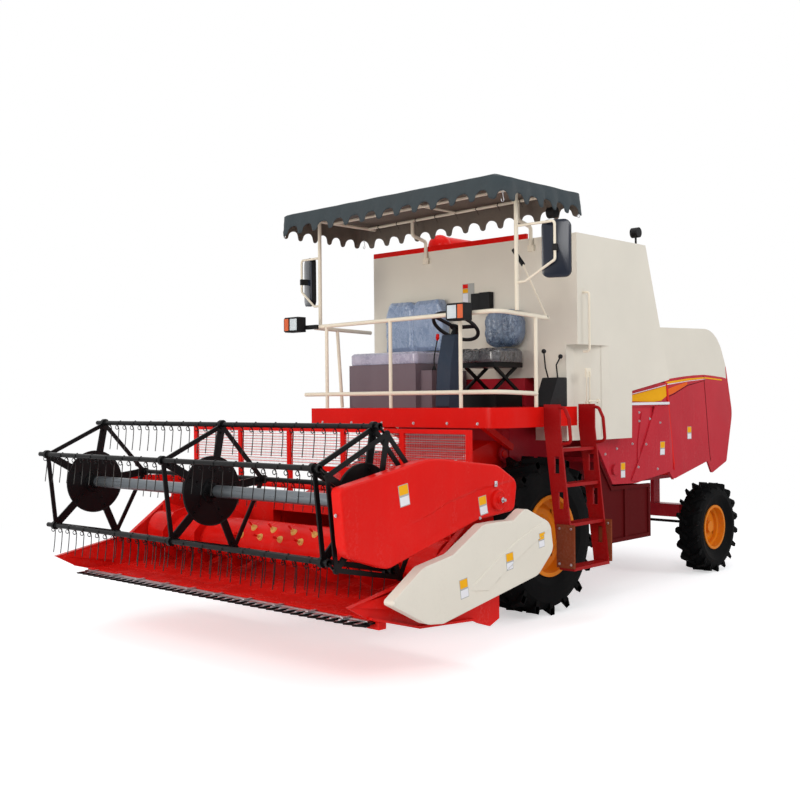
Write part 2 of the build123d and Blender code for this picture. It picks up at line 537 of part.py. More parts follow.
with BuildPart() as seat_back:
    with BuildSketch(front(SEAT_Y + 245)) as face:
        with Locations((SEAT_X, 2325)):
            RectangleRounded(430, 370, 150)
    extrude(face.sketch, amount=95)
seat_back.part.label = "seat_back"
export_step(seat_back.part, "parts/seat_back.step")

COLUMN_X = 410
with BuildPart() as steering_column:
    slab([(-620, DECK_TOP), (-470, DECK_TOP), (-480, 2010), (-454, 2220), (-524, 2263.5), (-590, 2010)],
         COLUMN_X - 70, COLUMN_X + 70, 20)
steering_column.part.label = "steering_column"
export_step(steering_column.part, "parts/steering_column.step")

WHEEL_Y, WHEEL_Z, WHEEL_TILT = -440, 2320, 32
wheel_plane = Plane(origin=at(COLUMN_X, WHEEL_Y, WHEEL_Z), x_dir=(1, 0, 0),
                    z_dir=(0, math.sin(math.radians(WHEEL_TILT)), math.cos(math.radians(WHEEL_TILT))))
with BuildPart() as steering_wheel:
    with BuildSketch(Plane(origin=wheel_plane.origin, x_dir=wheel_plane.x_dir, z_dir=wheel_plane.y_dir)) as face:
        with Locations((190, 0)):
            Circle(15)
    revolve(face.sketch, axis=Axis(wheel_plane.origin, wheel_plane.z_dir))
    with BuildSketch(wheel_plane.offset(-18)) as face:
        Circle(45)
        for turn in (0, 120, 240):
            with Locations(Rot(0, 0, turn) * Pos(95, 0)):
                Rectangle(184, 34)
    extrude(face.sketch, amount=14)
    with BuildSketch(wheel_plane.offset(-92)) as face:
        Circle(16)
    extrude(face.sketch, amount=82)
steering_wheel.part.label = "steering_wheel"
export_step(steering_wheel.part, "parts/steering_wheel.step")

with BuildPart() as lever_console:
    slab([(-60, DECK_TOP), (190, DECK_TOP), (190, 1900), (60, 1900)], 900, 1050, 12)
    pipe([(960, 60, 1890), (960, 20, 1980), (960, 0, 2110)], 12)
    pipe([(1010, 120, 1890), (1010, 100, 2000), (1010, 160, 2070)], 12)
    for x, y, z in ((960, 0, 2110), (1010, 160, 2070)):
        with Locations(at(x, y, z)):
            Sphere(19)
    block(180, 290, TANK_FRONT - 60, TANK_FRONT, 2480, 2650)
    block(60, 150, TANK_FRONT - 25, TANK_FRONT, 2490, 2650)
lever_console.part.label = "lever_console"
export_step(lever_console.part, "parts/lever_console.step")

# ---------------------------------------------------------------- mirrors and lamps
# hand, post x, post y, reach of the arm, middle of the glass
MIRRORS = ((1, POST_LEFT, POST_Y, 350, 2842), (-1, POST_RIGHT, -600, 240, 2800))
MIRROR_WIDE, MIRROR_HIGH, MIRROR_DEEP, MIRROR_TOE, MIRROR_GAP, MIRROR_ARM_D = 215, 425, 40, 25, 62, 20
with BuildPart() as mirror_arms:
    for hand, x, y, reach, z in MIRRORS:
        near, far = x + hand * POST_D / 2, x + hand * reach
        pipe([(near, y, z + 195), (far, y, z + 195), (far, y, z - 90), (near + hand * 60, y, z - 230),
              (near, y, z - 230)], MIRROR_ARM_D, 25)
mirror_arms.part.label = "mirror_arms"
export_step(mirror_arms.part, "parts/mirror_arms.step")
with BuildPart() as mirrors:
    for hand, x, y, reach, z in MIRRORS:
        far, turn = x + hand * reach, math.radians(MIRROR_TOE)
        glass = Plane(origin=at(far, y, z), x_dir=(math.cos(turn), hand * math.sin(turn), 0),
                      z_dir=(hand * math.sin(turn), -math.cos(turn), 0))
        with BuildSketch(glass.offset(-MIRROR_GAP)) as face:
            RectangleRounded(MIRROR_WIDE, MIRROR_HIGH, 50)
        extrude(face.sketch, amount=-MIRROR_DEEP)
        with BuildSketch(glass.offset(-MIRROR_GAP)) as face:
            Rectangle(36, 50)
        extrude(face.sketch, amount=MIRROR_GAP + 12)
        upright(far, y, z - 30, z + 30, MIRROR_ARM_D, mode=Mode.SUBTRACT)
mirrors.part.label = "mirrors"
export_step(mirrors.part, "parts/mirrors.step")

LAMPS = ((775, -850, 2395, 1), (-1075, -860, 2395, -1))
with BuildPart() as lamp_housings:
    for x, y, z, hand in LAMPS:
        block(x - 85, x + 85, y - 30, y + 62, z - 65, z + 65)
    block(-1000, -860, -798, -752 - RAIL_D / 2 - SEAT, 2352, 2388)
    block(755, 795, -788, -752 - RAIL_D / 2 - SEAT, 2375, 2415)
    across(10, 3215, 1015, 1085, 90)
    upright(1050, 20, 3235, ROOF_LEFT - ROOF_TUBE_D / 2 + 0.4, 20)
    across(1290, 3190, 1015, 1085, 90)
    upright(1050, 1290, TANK_TOP + SEAT, 3160, 18)
lamp_housings.part.label = "lamp_housings"
export_step(lamp_housings.part, "parts/lamp_housings.step")
with BuildPart() as lamp_lenses:
    for x, y, z, hand in LAMPS:
        block(x - hand * 80, x + hand * 20, y - 38, y - 30, z - 50, z + 50)
lamp_lenses.part.label = "lamp_lenses"
export_step(lamp_lenses.part, "parts/lamp_lenses.step")
with BuildPart() as indicator_lenses:
    for x, y, z, hand in LAMPS:
        block(x + hand * 28, x + hand * 80, y - 42, y - 30, z - 52, z + 52)
indicator_lenses.part.label = "indicator_lenses"
export_step(indicator_lenses.part, "parts/indicator_lenses.step")

# ---------------------------------------------------------------- ladder
STEPS = ((1345, 1165), (1075, 1200), (775, 1240), (445, 1285))
with BuildPart() as ladder:
    for y in (-250, 230):
        with BuildSketch(Plane(origin=at(0, y, 0), x_dir=(1, 0, 0), z_dir=(0, -1, 0))) as face:
            with BuildLine():
                Polyline((DECK_LEFT + SEAT, DECK_TOP + 20), (1290, DECK_TOP + 20), (1290, 1500), (1410, 420), (1275, 420),
                         (DECK_LEFT + SEAT, 1500), close=True)
            make_face()
        extrude(face.sketch, amount=16)
        for z, x in STEPS[:3]:
            block(x + 70, x + 115, y - 20, y + 4, z - 190, z - 60, mode=Mode.SUBTRACT)
    for z, x in STEPS:
        block(x + 5, x + 125, -250, 214, z - 25, z)
    for y in (-262, 218):
        pipe([(1280, y, DECK_TOP), (1330, y, DECK_TOP - 10), (1370, y, DECK_TOP - 90), (1385, y, 1395),
              (1308, y, 1380)], 26, 30)
ladder.part.label = "ladder"
export_step(ladder.part, "parts/ladder.step")

# ---------------------------------------------------------------- feeder house
with BuildPart() as feeder:
    slab([(LIFT_Y - 90, LIFT_Z + 110), (LIFT_Y + 10, LIFT_Z + 90), (LIFT_Y + 20, LIFT_Z - 130), (-500, 760), (-1605, 370),
          (-1605, 930), (-900, 1190)], FEEDER_RIGHT, FEEDER_LEFT)
    slab([(LIFT_Y - 90, LIFT_Z + 80), (LIFT_Y - 50, LIFT_Z - 130), (-520, 800), (-1700, 400), (-1700, 900),
          (-890, 1160)], FEEDER_RIGHT + 20, FEEDER_LEFT - 20, mode=Mode.SUBTRACT)
    across(LIFT_Y, LIFT_Z, FEEDER_RIGHT - 50, FEEDER_LEFT + 50, LIFT_PIN_D)
    block(FEEDER_RIGHT - 60, FEEDER_LEFT + 60, -1625 + SEAT, -1600, 930, 1020)
    for x in (FEEDER_RIGHT - 60, FEEDER_LEFT):
        block(x, x + 60, -1625 + SEAT, -1600, 400, 930)
    for x in CYL_X:
        for x0, x1 in ((x - 36, x - 24), (x + 24, x + 36)):
            slab([(-1200, 530), (-1100, 570), (-1108, 440), (-1185, 428)], x0, x1)
        across(*LIFT_EYE, x - 40, x + 40, 31, mode=Mode.SUBTRACT)
feeder.part.label = "feeder"
export_step(feeder.part, "parts/feeder.step")

# ---------------------------------------------------------------- header table
with BuildPart() as header_table:
    trough = AUGER_FLIGHT_D / 2 + TROUGH_GAP
    with BuildSketch(side(HEADER_RIGHT)) as face:
        with BuildLine():
            Polyline((AUGER_Y, AUGER_Z - trough), (KNIFE_Y + 40, AUGER_Z - trough + 2),
                     (KNIFE_Y + 40, AUGER_Z - trough - 10), (AUGER_Y, AUGER_Z - trough - 12))
            ThreePointArc((AUGER_Y, AUGER_Z - trough - 12),
                          (AUGER_Y + (trough + 12) * 0.7071, AUGER_Z - (trough + 12) * 0.7071),
                          (AUGER_Y + trough + 12, AUGER_Z))
            Polyline((AUGER_Y + trough + 12, AUGER_Z), (AUGER_Y + trough + 12, 1030), (AUGER_Y + trough, 1030),
                     (AUGER_Y + trough, AUGER_Z))
            ThreePointArc((AUGER_Y + trough, AUGER_Z),
                          (AUGER_Y + trough * 0.7071, AUGER_Z - trough * 0.7071),
                          (AUGER_Y, AUGER_Z - trough))
        make_face()
    extrude(face.sketch, amount=HEADER_LEFT - HEADER_RIGHT)
    block(FEEDER_RIGHT + 20, FEEDER_LEFT - 20, -1740, -1600, 500, 900, mode=Mode.SUBTRACT)
    # rear frame: top and bottom beams with uprights
    back = AUGER_Y + trough + 12 + SEAT
    block(HEADER_RIGHT, HEADER_LEFT, back, -1625, 980, 1040)
    block(HEADER_RIGHT, FEEDER_RIGHT - 5, back, -1625, 400, 470)
    block(FEEDER_LEFT + 5, HEADER_LEFT, back, -1625, 400, 470)
    for x in (HEADER_RIGHT + 10, -930, FEEDER_RIGHT - 75, FEEDER_LEFT + 15, 1080, HEADER_LEFT - 70):
        block(x, x + 60, back, -1635, 470, 980)
    # knife beam under the lip
    block(HEADER_RIGHT, HEADER_LEFT, KNIFE_Y + 40, KNIFE_Y + 100, 400, AUGER_Z - trough - 12 - SEAT)
header_table.part.label = "header_table"
export_step(header_table.part, "parts/header_table.step")

PIN_TIP = 1800
COVER_X0, COVER_X1, COVER_WALL = 1680, 1756, 10
DRIVE_X0, DRIVE_X1 = 1768, 1850
SIDE_SHEET = [(-2930, 572), (-2260, 690), (-1890, 947), (-1760, 1000), (-1715, 1135), (-1610, 1135), (-1600, 1000), (-1540, 640), (-1540, 300),
              (-1640, 262), (-1760, 300), (-1830, 331), (-2350, 365), (-2760, 480)]
with BuildPart() as header_sides:
    for x, out in ((HEADER_LEFT, 1), (HEADER_RIGHT, -1)):
        slab(SIDE_SHEET, x, x + out * 12)
        slab([(-2930, 572), (-2260, 690), (-1900, 940), (-1900, 925), (-2262, 674)], x + out * 12, x + out * 40)
        slab([(-2760, 480), (-2350, 365), (-1830, 331), (-1830, 345), (-2350, 380), (-2760, 495)], x + out * 12,
             x + out * 40)
        with BuildSketch(front(-2450)) as back:
            with Locations((x + out * 12, 560)):
                Rectangle(90, 130)
        with BuildSketch(front(-2905)) as tip:
            with Locations((x + out * 6, 571)):
                Rectangle(12, 4)
        loft([back.sketch, tip.sketch])
        # pivot pin of the reel's arm
        across(REEL_PIVOT_Y, REEL_PIVOT_Z, 1625 if out > 0 else x, PIN_TIP if out > 0 else x - 55, 40)
        slab([(-1880, 880), (-1800, 900), (-1810, 1010), (-1870, 1010)], x, x + out * 12)
    across(REEL_PIVOT_Y, REEL_PIVOT_Z, PIN_TIP - 40, PIN_TIP - 24, 90)
    for y, z in ((-2350, 500), (-1400, 700), (-1800, 700)):
        block(HEADER_LEFT + 12, DRIVE_X1 - COVER_WALL - SEAT, y - 15, y + 15, z - 15, z + 15)
    block(HEADER_LEFT, HEADER_LEFT + 12, -1541, -1380, 600, 800)
header_sides.part.label = "header_sides"
export_step(header_sides.part, "parts/header_sides.step")

with BuildPart() as header_screen:
    x0, x1 = -1465, 1530
    y0, y1 = -1651, -1625
    block(x0, x1, y0, y1, 1500, 1530)
    block(x0, x1, y0, y1, 1205, 1245)
    bays = 5
    for k in range(bays + 1):
        x = x0 + (x1 - x0 - 40) * k / bays
        block(x, x + 40, y0, y1, 1040, 1530)
    for k in range(1, 12):
        z = 1245 + (1500 - 1245) * k / 12
        block(x0 + 20, x1 - 20, y0 + 10, y0 + 16, z - 2, z + 2)
header_screen.part.label = "header_screen"
export_step(header_screen.part, "parts/header_screen.step")

with BuildPart() as knife_guards:
    block(HEADER_RIGHT + 30, HEADER_LEFT - 30, KNIFE_Y - 5, KNIFE_Y + 40 - SEAT, 433, 445)
    pitch = 76.2
    count = int((HEADER_LEFT - HEADER_RIGHT - 80) / pitch)
    start = (HEADER_LEFT + HEADER_RIGHT) / 2 - pitch * (count - 1) / 2
    for k in range(count):
        x = start + pitch * k
        slab([(KNIFE_Y - 5, 433), (KNIFE_Y - 100, 440), (KNIFE_Y - 100, 444), (KNIFE_Y - 5, 445)], x - 10, x + 10)
knife_guards.part.label = "knife_guards"
export_step(knife_guards.part, "parts/knife_guards.step")

KNIFE_STROKE = 38
with BuildPart() as knife:
    block(HEADER_RIGHT + 60, HEADER_LEFT - 60, KNIFE_Y + 5, KNIFE_Y + 25, 445 + SEAT, 451)
    pitch = 76.2
    count = int((HEADER_LEFT - HEADER_RIGHT - 200) / pitch)
    start = (HEADER_LEFT + HEADER_RIGHT) / 2 - pitch * (count - 1) / 2
    for k in range(count):
        x = start + pitch * k
        plate([(x - 36, KNIFE_Y + 5), (x - 9, KNIFE_Y - 55), (x + 9, KNIFE_Y - 55), (x + 36, KNIFE_Y + 5)], 445 + SEAT, 449)
knife.part.label = "knife"
export_step(knife.part, "parts/knife.step")

# ---------------------------------------------------------------- header auger
AUGER_X0, AUGER_X1 = HEADER_RIGHT + 30, HEADER_LEFT - 30
FINGER_X0, FINGER_X1, FINGER_ROWS = -260, 500, 8
with BuildPart() as auger:
    across(AUGER_Y, AUGER_Z, AUGER_X0, AUGER_X1, AUGER_TUBE_D)
    across(AUGER_Y, AUGER_Z, HEADER_RIGHT + SEAT, HEADER_LEFT - SEAT, AUGER_SHAFT_D)
    def flight(x_from, x_to, hand):
        turns_per = 8
        steps = max(2, int(abs(x_to - x_from) / AUGER_PITCH * turns_per))
        for k in range(steps):
            pair = []
            for j in (k, k + 1):
                x = x_from + (x_to - x_from) * j / steps
                turn = hand * 360 * abs(x - x_from) / AUGER_PITCH
                out = Vector(0, math.sin(math.radians(turn)), math.cos(math.radians(turn)))
                middle = Vector(*at(x, AUGER_Y, AUGER_Z)) + out * (AUGER_TUBE_D / 2 - 6 + AUGER_FLIGHT_D / 2) / 2
                deep = AUGER_FLIGHT_D / 2 - AUGER_TUBE_D / 2 + 6
                with BuildSketch(Plane(origin=middle, x_dir=(1, 0, 0), z_dir=out.cross(Vector(1, 0, 0)))) as cut:
                    Rectangle(FLIGHT_WALL, deep)
                pair.append(cut.sketch)
            loft(pair, ruled=True)
    flight(AUGER_X0, FINGER_X0 - 60, 1)
    flight(AUGER_X1, FINGER_X1 + 60, 1)
    for k in range(FINGER_ROWS):
        x = FINGER_X0 + (FINGER_X1 - FINGER_X0) * k / (FINGER_ROWS - 1)
        for turn in (20, 200):
            turn += 25 * (k % 2)
            out = Vector(0, -math.cos(math.radians(turn)), math.sin(math.radians(turn)))
            base = Vector(*at(x, AUGER_Y, AUGER_Z)) + out * (AUGER_TUBE_D / 2 - 8)
            with BuildSketch(Plane(origin=base, z_dir=out)) as root:
                RegularPolygon(8, 6)
            extrude(root.sketch, amount=AUGER_FLIGHT_D / 2 - AUGER_TUBE_D / 2 + 8 - 2)
auger.part.label = "auger"
export_step(auger.part, "parts/auger.step")

# ---------------------------------------------------------------- reel
def reel_spot(k, radius=REEL_R, dy=0, dz=0):
    """Corner k of the reel, counted forwards from the top."""
    turn = math.radians(REEL_PHASE + 360 / REEL_BARS * k)
    return REEL_Y + dy - radius * math.sin(turn), REEL_Z + dz + radius * math.cos(turn)


def reel_disc(y, z, x0, x1, diameter):
    with BuildSketch(side(x0)) as face:
        with Locations((y, z)):
            RegularPolygon(diameter / 2, 24)
    extrude(face.sketch, amount=x1 - x0)


SPIDER_WALL = 12
with BuildPart() as reel_frame:
    across(REEL_Y, REEL_Z, SPIDER_X[0] - 30, SPIDER_X[-1] + 12, REEL_TUBE_D)
    across(REEL_Y, REEL_Z, -1530, SPIDER_X[0] - 30, 45)
    across(REEL_Y, REEL_Z, SPIDER_X[-1] + 12, 1690, 45)
    for x in SPIDER_X:
        reel_disc(REEL_Y, REEL_Z, x - 4, x + 4, 470)
        for k in range(REEL_BARS):
            y, z = reel_spot(k)
            y_in, z_in = reel_spot(k, 90)
            y_out, z_out = reel_spot(k, REEL_R - 24)
            strut((x, y_in, z_in), (x, y_out, z_out), SPIDER_WALL, 56)
            y0, z0 = reel_spot(k, REEL_R - 8)
            y1, z1 = reel_spot(k + 1, REEL_R - 8)
            strut((x, y0 + (y1 - y0) * 0.05, z0 + (z1 - z0) * 0.05), (x, y1 - (y1 - y0) * 0.05, z1 - (z1 - z0) * 0.05),
                  SPIDER_WALL, 30)
        for k in range(REEL_BARS):
            y, z = reel_spot(k)
            across(y, z, x - 14, x + 14, 62)
        for k in range(REEL_BARS):
            y, z = reel_spot(k)
            across(y, z, x - 20, x + 20, BAR_D + 0.1, mode=Mode.SUBTRACT)
reel_frame.part.label = "reel_frame"
export_step(reel_frame.part, "parts/reel_frame.step")

CRANK_Y, CRANK_Z = 44, -44
RING_X0, RING_X1 = 1606, 1616
BAR_X0, BAR_X1 = -1460, 1598
for k in range(REEL_BARS):
    y, z = reel_spot(k)
    with BuildPart() as tine_bar:
        across(y, z, BAR_X0, BAR_X1, BAR_D)
        tines = int((BAR_X1 - BAR_X0 - 120) / TINE_PITCH) + 1
        for t in range(tines):
            x = BAR_X0 + 70 + TINE_PITCH * t
            if min(abs(x - s) for s in SPIDER_X) > 24:
                block(x - TINE_D / 2, x + TINE_D / 2, y - TINE_D / 2, y + TINE_D / 2, z - BAR_D / 2 - TINE_LENGTH + 10,
                      z - BAR_D / 2 + 2)
        strut((BAR_X1 - 6, y, z), (BAR_X1 - 6, y + CRANK_Y, z + CRANK_Z), 12, 26)
        across(y + CRANK_Y, z + CRANK_Z, BAR_X1 - 12, RING_X1 + 2, 16)
    tine_bar.part.label = f"tine_bar_{k + 1}"
    export_step(tine_bar.part, f"parts/tine_bar_{k + 1}.step")

RING_BORE = 210
with BuildPart() as control_ring:
    reel_disc(REEL_Y + CRANK_Y, REEL_Z + CRANK_Z, RING_X0, RING_X1, RING_BORE + 70)
    for k in range(REEL_BARS):
        y_in, z_in = reel_spot(k, RING_BORE / 2 + 15, CRANK_Y, CRANK_Z)
        y_out, z_out = reel_spot(k, REEL_R, CRANK_Y, CRANK_Z)
        middle = (RING_X0 + RING_X1) / 2
        strut((middle, y_in, z_in), (middle, y_out, z_out), RING_X1 - RING_X0, 40)
        y1, z1 = reel_spot(k + 1, REEL_R, CRANK_Y, CRANK_Z)
        strut((middle, y_out, z_out), (middle, y1, z1), RING_X1 - RING_X0, 30)
        across(y_out, z_out, RING_X0, RING_X1, 46)
    for k in range(REEL_BARS):
        y_out, z_out = reel_spot(k, REEL_R, CRANK_Y, CRANK_Z)
        across(y_out, z_out, RING_X0 - 5, RING_X1 + 5, 16.1, mode=Mode.SUBTRACT)
    across(REEL_Y + CRANK_Y, REEL_Z + CRANK_Z, RING_X0 - 5, RING_X1 + 5, RING_BORE, mode=Mode.SUBTRACT)
control_ring.part.label = "control_ring"
export_step(control_ring.part, "parts/control_ring.step")

with BuildPart() as reel_arms:
    for x0, x1 in ((1630, 1655), (-1515, -1490)):
        slab([(REEL_PIVOT_Y + 50, REEL_PIVOT_Z - 35), (REEL_PIVOT_Y + 50, REEL_PIVOT_Z + 35),
              (REEL_Y - 45, REEL_Z + 40), (REEL_Y - 45, REEL_Z - 40)], x0, x1, 15)
        across(REEL_PIVOT_Y, REEL_PIVOT_Z, x0 - 3, x1 + 2, 90)
        across(REEL_Y, REEL_Z, x0 - 5, x1 + 5, 100)
    across(-1760, 1100, -1490, 1630, 50)
    across(REEL_Y, REEL_Z, RING_X1 + 4, 1630, 70)
    across(REEL_Y + CRANK_Y, REEL_Z + CRANK_Z, RING_X0, RING_X1 + 6, RING_BORE - 0.1)
    for x0, x1 in ((1550, 1700), (-1540, -1480)):
        across(REEL_Y, REEL_Z, x0, x1, 45.1, mode=Mode.SUBTRACT)
        across(REEL_PIVOT_Y, REEL_PIVOT_Z, x0, x1, 40.1, mode=Mode.SUBTRACT)
    for y in (-2900, -2500, -1900):
        z = 1100 + 0.06 * (-1900 - y)
        block(1655, 1746, y - 20, y + 20, z - 15, z + 15) if y > -2700 else None
reel_arms.part.label = "reel_arms"
export_step(reel_arms.part, "parts/reel_arms.step")

# corners of the reel drive's cover: y, z, corner radius
COVER = ((-3052, 1248, 35), (-3012, 872, 110), (-2680, 762, 140), (-1850, 972, 500), (-1472, 1002, 50),
         (-1440, 1196, 70), (-1640, 1308, 160), (-2290, 1385, 800))
with BuildPart() as reel_cover:
    shaped(COVER, COVER_X0, COVER_X1)
    fillet(reel_cover.faces().sort_by(Axis.X)[-1].edges(), 14)
    shaped(COVER, COVER_X0 - 5, COVER_X1 - COVER_WALL, COVER_WALL + 4, Mode.SUBTRACT)
    across(REEL_PIVOT_Y, REEL_PIVOT_Z, 1660, 1800, 110, mode=Mode.SUBTRACT)
reel_cover.part.label = "reel_cover"
export_step(reel_cover.part, "parts/reel_cover.step")

# corners of the knife and auger drive's cover: y, z, corner radius
DRIVE = ((-2752, 584, 20), (-2431, 421, 90), (-2297, 405, 60), (-1333, 573, 120), (-1159, 719, 90), (-1190, 902, 90),
         (-1469, 1024, 80), (-1600, 955, 60), (-1756, 959, 60), (-1908, 955, 90), (-2199, 802, 120), (-2470, 757, 90))
with BuildPart() as drive_cover:
    shaped(DRIVE, DRIVE_X0, DRIVE_X1)
    chamfer(drive_cover.faces().sort_by(Axis.X)[-1].edges(), 12)
    shaped(DRIVE, DRIVE_X0 - 5, DRIVE_X1 - COVER_WALL, COVER_WALL + 4, Mode.SUBTRACT)
drive_cover.part.label = "drive_cover"
export_step(drive_cover.part, "parts/drive_cover.step")

# ---------------------------------------------------------------- lift cylinders
run_y, run_z = LIFT_EYE[0] - LIFT_BASE[0], LIFT_EYE[1] - LIFT_BASE[1]
run = math.hypot(run_y, run_z)


def along(share):
    return LIFT_BASE[0] + run_y * share, LIFT_BASE[1] + run_z * share


def rod_between(x, a, b, diameter, mode=Mode.ADD):
    """A round bar between two (y, z) places at x."""
    start, end = Vector(*at(x, *a)), Vector(*at(x, *b))
    with BuildSketch(Plane(origin=start, x_dir=(1, 0, 0), z_dir=end - start)) as face:
        Circle(diameter / 2)
    extrude(face.sketch, amount=(end - start).length, mode=mode)


with BuildPart() as lift_barrels:
    for x in CYL_X:
        rod_between(x, along(0.06), along(0.62), 86)
        across(*LIFT_BASE, x - 20, x + 20, 70)
        rod_between(x, along(0.01), along(0.07), 38)
        across(*LIFT_BASE, x - 22, x + 22, 30.1, mode=Mode.SUBTRACT)
        rod_between(x, along(0.14), along(0.63), 60, mode=Mode.SUBTRACT)
lift_barrels.part.label = "lift_barrels"
export_step(lift_barrels.part, "parts/lift_barrels.step")
with BuildPart() as lift_rods:
    for x in CYL_X:
        rod_between(x, along(0.27), along(0.98), 45)
        rod_between(x, along(0.27), along(0.31), 59.8)
        across(*LIFT_EYE, x - 18, x + 18, 64)
        across(*LIFT_EYE, x - 22, x + 22, 31.5, mode=Mode.SUBTRACT)
lift_rods.part.label = "lift_rods"
export_step(lift_rods.part, "parts/lift_rods.step")
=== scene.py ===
import bpy
import bmesh
import math
from mathutils import Matrix, Vector, noise
from mathutils.bvhtree import BVHTree
from mathutils.geometry import intersect_point_line


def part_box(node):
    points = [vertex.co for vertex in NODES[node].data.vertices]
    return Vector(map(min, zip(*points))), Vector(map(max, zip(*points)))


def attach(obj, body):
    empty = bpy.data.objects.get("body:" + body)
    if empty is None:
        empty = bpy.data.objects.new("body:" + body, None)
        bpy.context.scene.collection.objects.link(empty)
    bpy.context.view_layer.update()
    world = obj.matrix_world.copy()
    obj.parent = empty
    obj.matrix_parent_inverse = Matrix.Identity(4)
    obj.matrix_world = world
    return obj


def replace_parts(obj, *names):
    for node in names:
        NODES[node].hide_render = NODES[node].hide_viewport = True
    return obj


bl_info = {
    "name": "Combine Harvester Finish",
    "version": (1, 0, 0),
    "blender": (4, 5, 0),
    "location": "View3D > Sidebar > Harvester",
    "description": "Paint, cloth, wire and small parts for a combine harvester built around its CAD frame",
    "category": "Object",
}

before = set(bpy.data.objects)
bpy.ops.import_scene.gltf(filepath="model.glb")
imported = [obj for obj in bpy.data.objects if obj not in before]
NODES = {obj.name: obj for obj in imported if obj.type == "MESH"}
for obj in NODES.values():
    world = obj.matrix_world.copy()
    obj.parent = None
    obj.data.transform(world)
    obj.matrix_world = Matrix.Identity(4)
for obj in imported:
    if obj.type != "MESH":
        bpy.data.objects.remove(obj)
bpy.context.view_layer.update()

# The chassis centreline and the front axle, from the front wheels of the frame.
LEFT_LOW, LEFT_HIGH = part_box("front_tyre_left")
RIGHT_LOW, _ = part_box("front_tyre_right")
MID_X = (LEFT_HIGH.x + RIGHT_LOW.x) / 2
AXLE_Y = (LEFT_LOW.y + LEFT_HIGH.y) / 2

# The reel's axis, the turn of its first bar, and the bars' ring, number and thickness.
REEL_Y, REEL_Z, REEL_PHASE = -2.660, 1.130, math.radians(-11.5)
REEL_RADIUS, REEL_BARS, BAR_RADIUS = 0.455, 5, 0.017
BAR_START, BAR_END, TINE_PITCH = -1.460, 1.598, 0.1
SPIDERS = (-1.360, 0.100, 1.545)

VERT, EDGE, FACE = bmesh.types.BMVert, bmesh.types.BMEdge, bmesh.types.BMFace

# The machine's left is along +X, and its front along -Y.
LEFTWARD, UP = Vector((1, 0, 0)), Vector((0, 0, 1))


def spot(x, y, z):
    """A place given in metres from the ground under the middle of the front axle."""
    return Vector((MID_X + x, AXLE_Y + y, z))


# ---- settings


def colour_setting(name, value, description):
    return bpy.props.FloatVectorProperty(
        name=name, description=description, default=value, min=0, max=1, subtype="COLOR")


def length_setting(name, value, description):
    return bpy.props.FloatProperty(
        name=name, description=description, default=value, min=0, subtype="DISTANCE", unit="LENGTH")


class HarvesterColours(bpy.types.PropertyGroup):
    """Paint and cloth colours, linear; the ladder's red also holds painted shade."""

    red: colour_setting("Bright red", (0.70, 0.009, 0.006), "Platform, header, reel cover and unload tube")
    # The ladder's red is darkened to paint in the shade that falls on the ladder.
    ladder_red: colour_setting("Ladder red", (0.33, 0.006, 0.007), "Ladder")
    crimson: colour_setting("Body red", (0.50, 0.020, 0.034), "Body panels and hood sides")
    maroon: colour_setting("Guard red", (0.095, 0.004, 0.005), "Lower guards and dark seams")
    cream: colour_setting("Cream", (0.74, 0.69, 0.595), "Grain tank, hood top and drive cover")
    cream_tube: colour_setting("Rail cream", (0.82, 0.74, 0.60), "Railing and canopy tubes")
    orange: colour_setting("Rim orange", (0.72, 0.20, 0.006), "Wheel rims")
    black: colour_setting("Frame black", (0.004, 0.004, 0.0045), "Reel frame and small metal parts")
    slate: colour_setting("Canopy slate", (0.026, 0.040, 0.047), "Canopy cloth")
    wrap: colour_setting("Cushion blue", (0.20, 0.275, 0.42), "Wrapped back of the bench")
    box_grey: colour_setting("Box grey", (0.17, 0.13, 0.15), "Bench box")


class HarvesterSizes(bpy.types.PropertyGroup):
    """Sizes of the added pieces."""

    wire: length_setting("Tine wire", 0.0066, "Thickness of a reel tine")
    coil: length_setting("Tine coil", 0.037, "Outside width of a tine's spring coil")
    drop: length_setting("Tine drop", 0.185, "Length of a tine below its bar")
    scallop: length_setting("Scallop depth", 0.075, "Depth of the canopy edge's scallops")


def colours():
    return bpy.context.scene.harvester_colours


def sizes():
    return bpy.context.scene.harvester_sizes


# ---- shader patterns


def node(tree, kind, links=None, **settings):
    """A node with its settings; links maps an input's name or number to a socket or a value."""
    made = tree.nodes.new(kind)
    for key, value in settings.items():
        setattr(made, key, value)
    for key, value in (links or {}).items():
        if isinstance(value, bpy.types.NodeSocket):
            tree.links.new(value, made.inputs[key])
        else:
            made.inputs[key].default_value = value
    return made


def math_node(tree, operation, a, b=0.0, clamp=False):
    return node(tree, "ShaderNodeMath", {0: a, 1: b}, operation=operation, use_clamp=clamp).outputs[0]


def band(tree, value, low, high, to_low=0.0, to_high=1.0):
    return node(tree, "ShaderNodeMapRange", {"Value": value, "From Min": low, "From Max": high,
                                             "To Min": to_low, "To Max": to_high}).outputs["Result"]


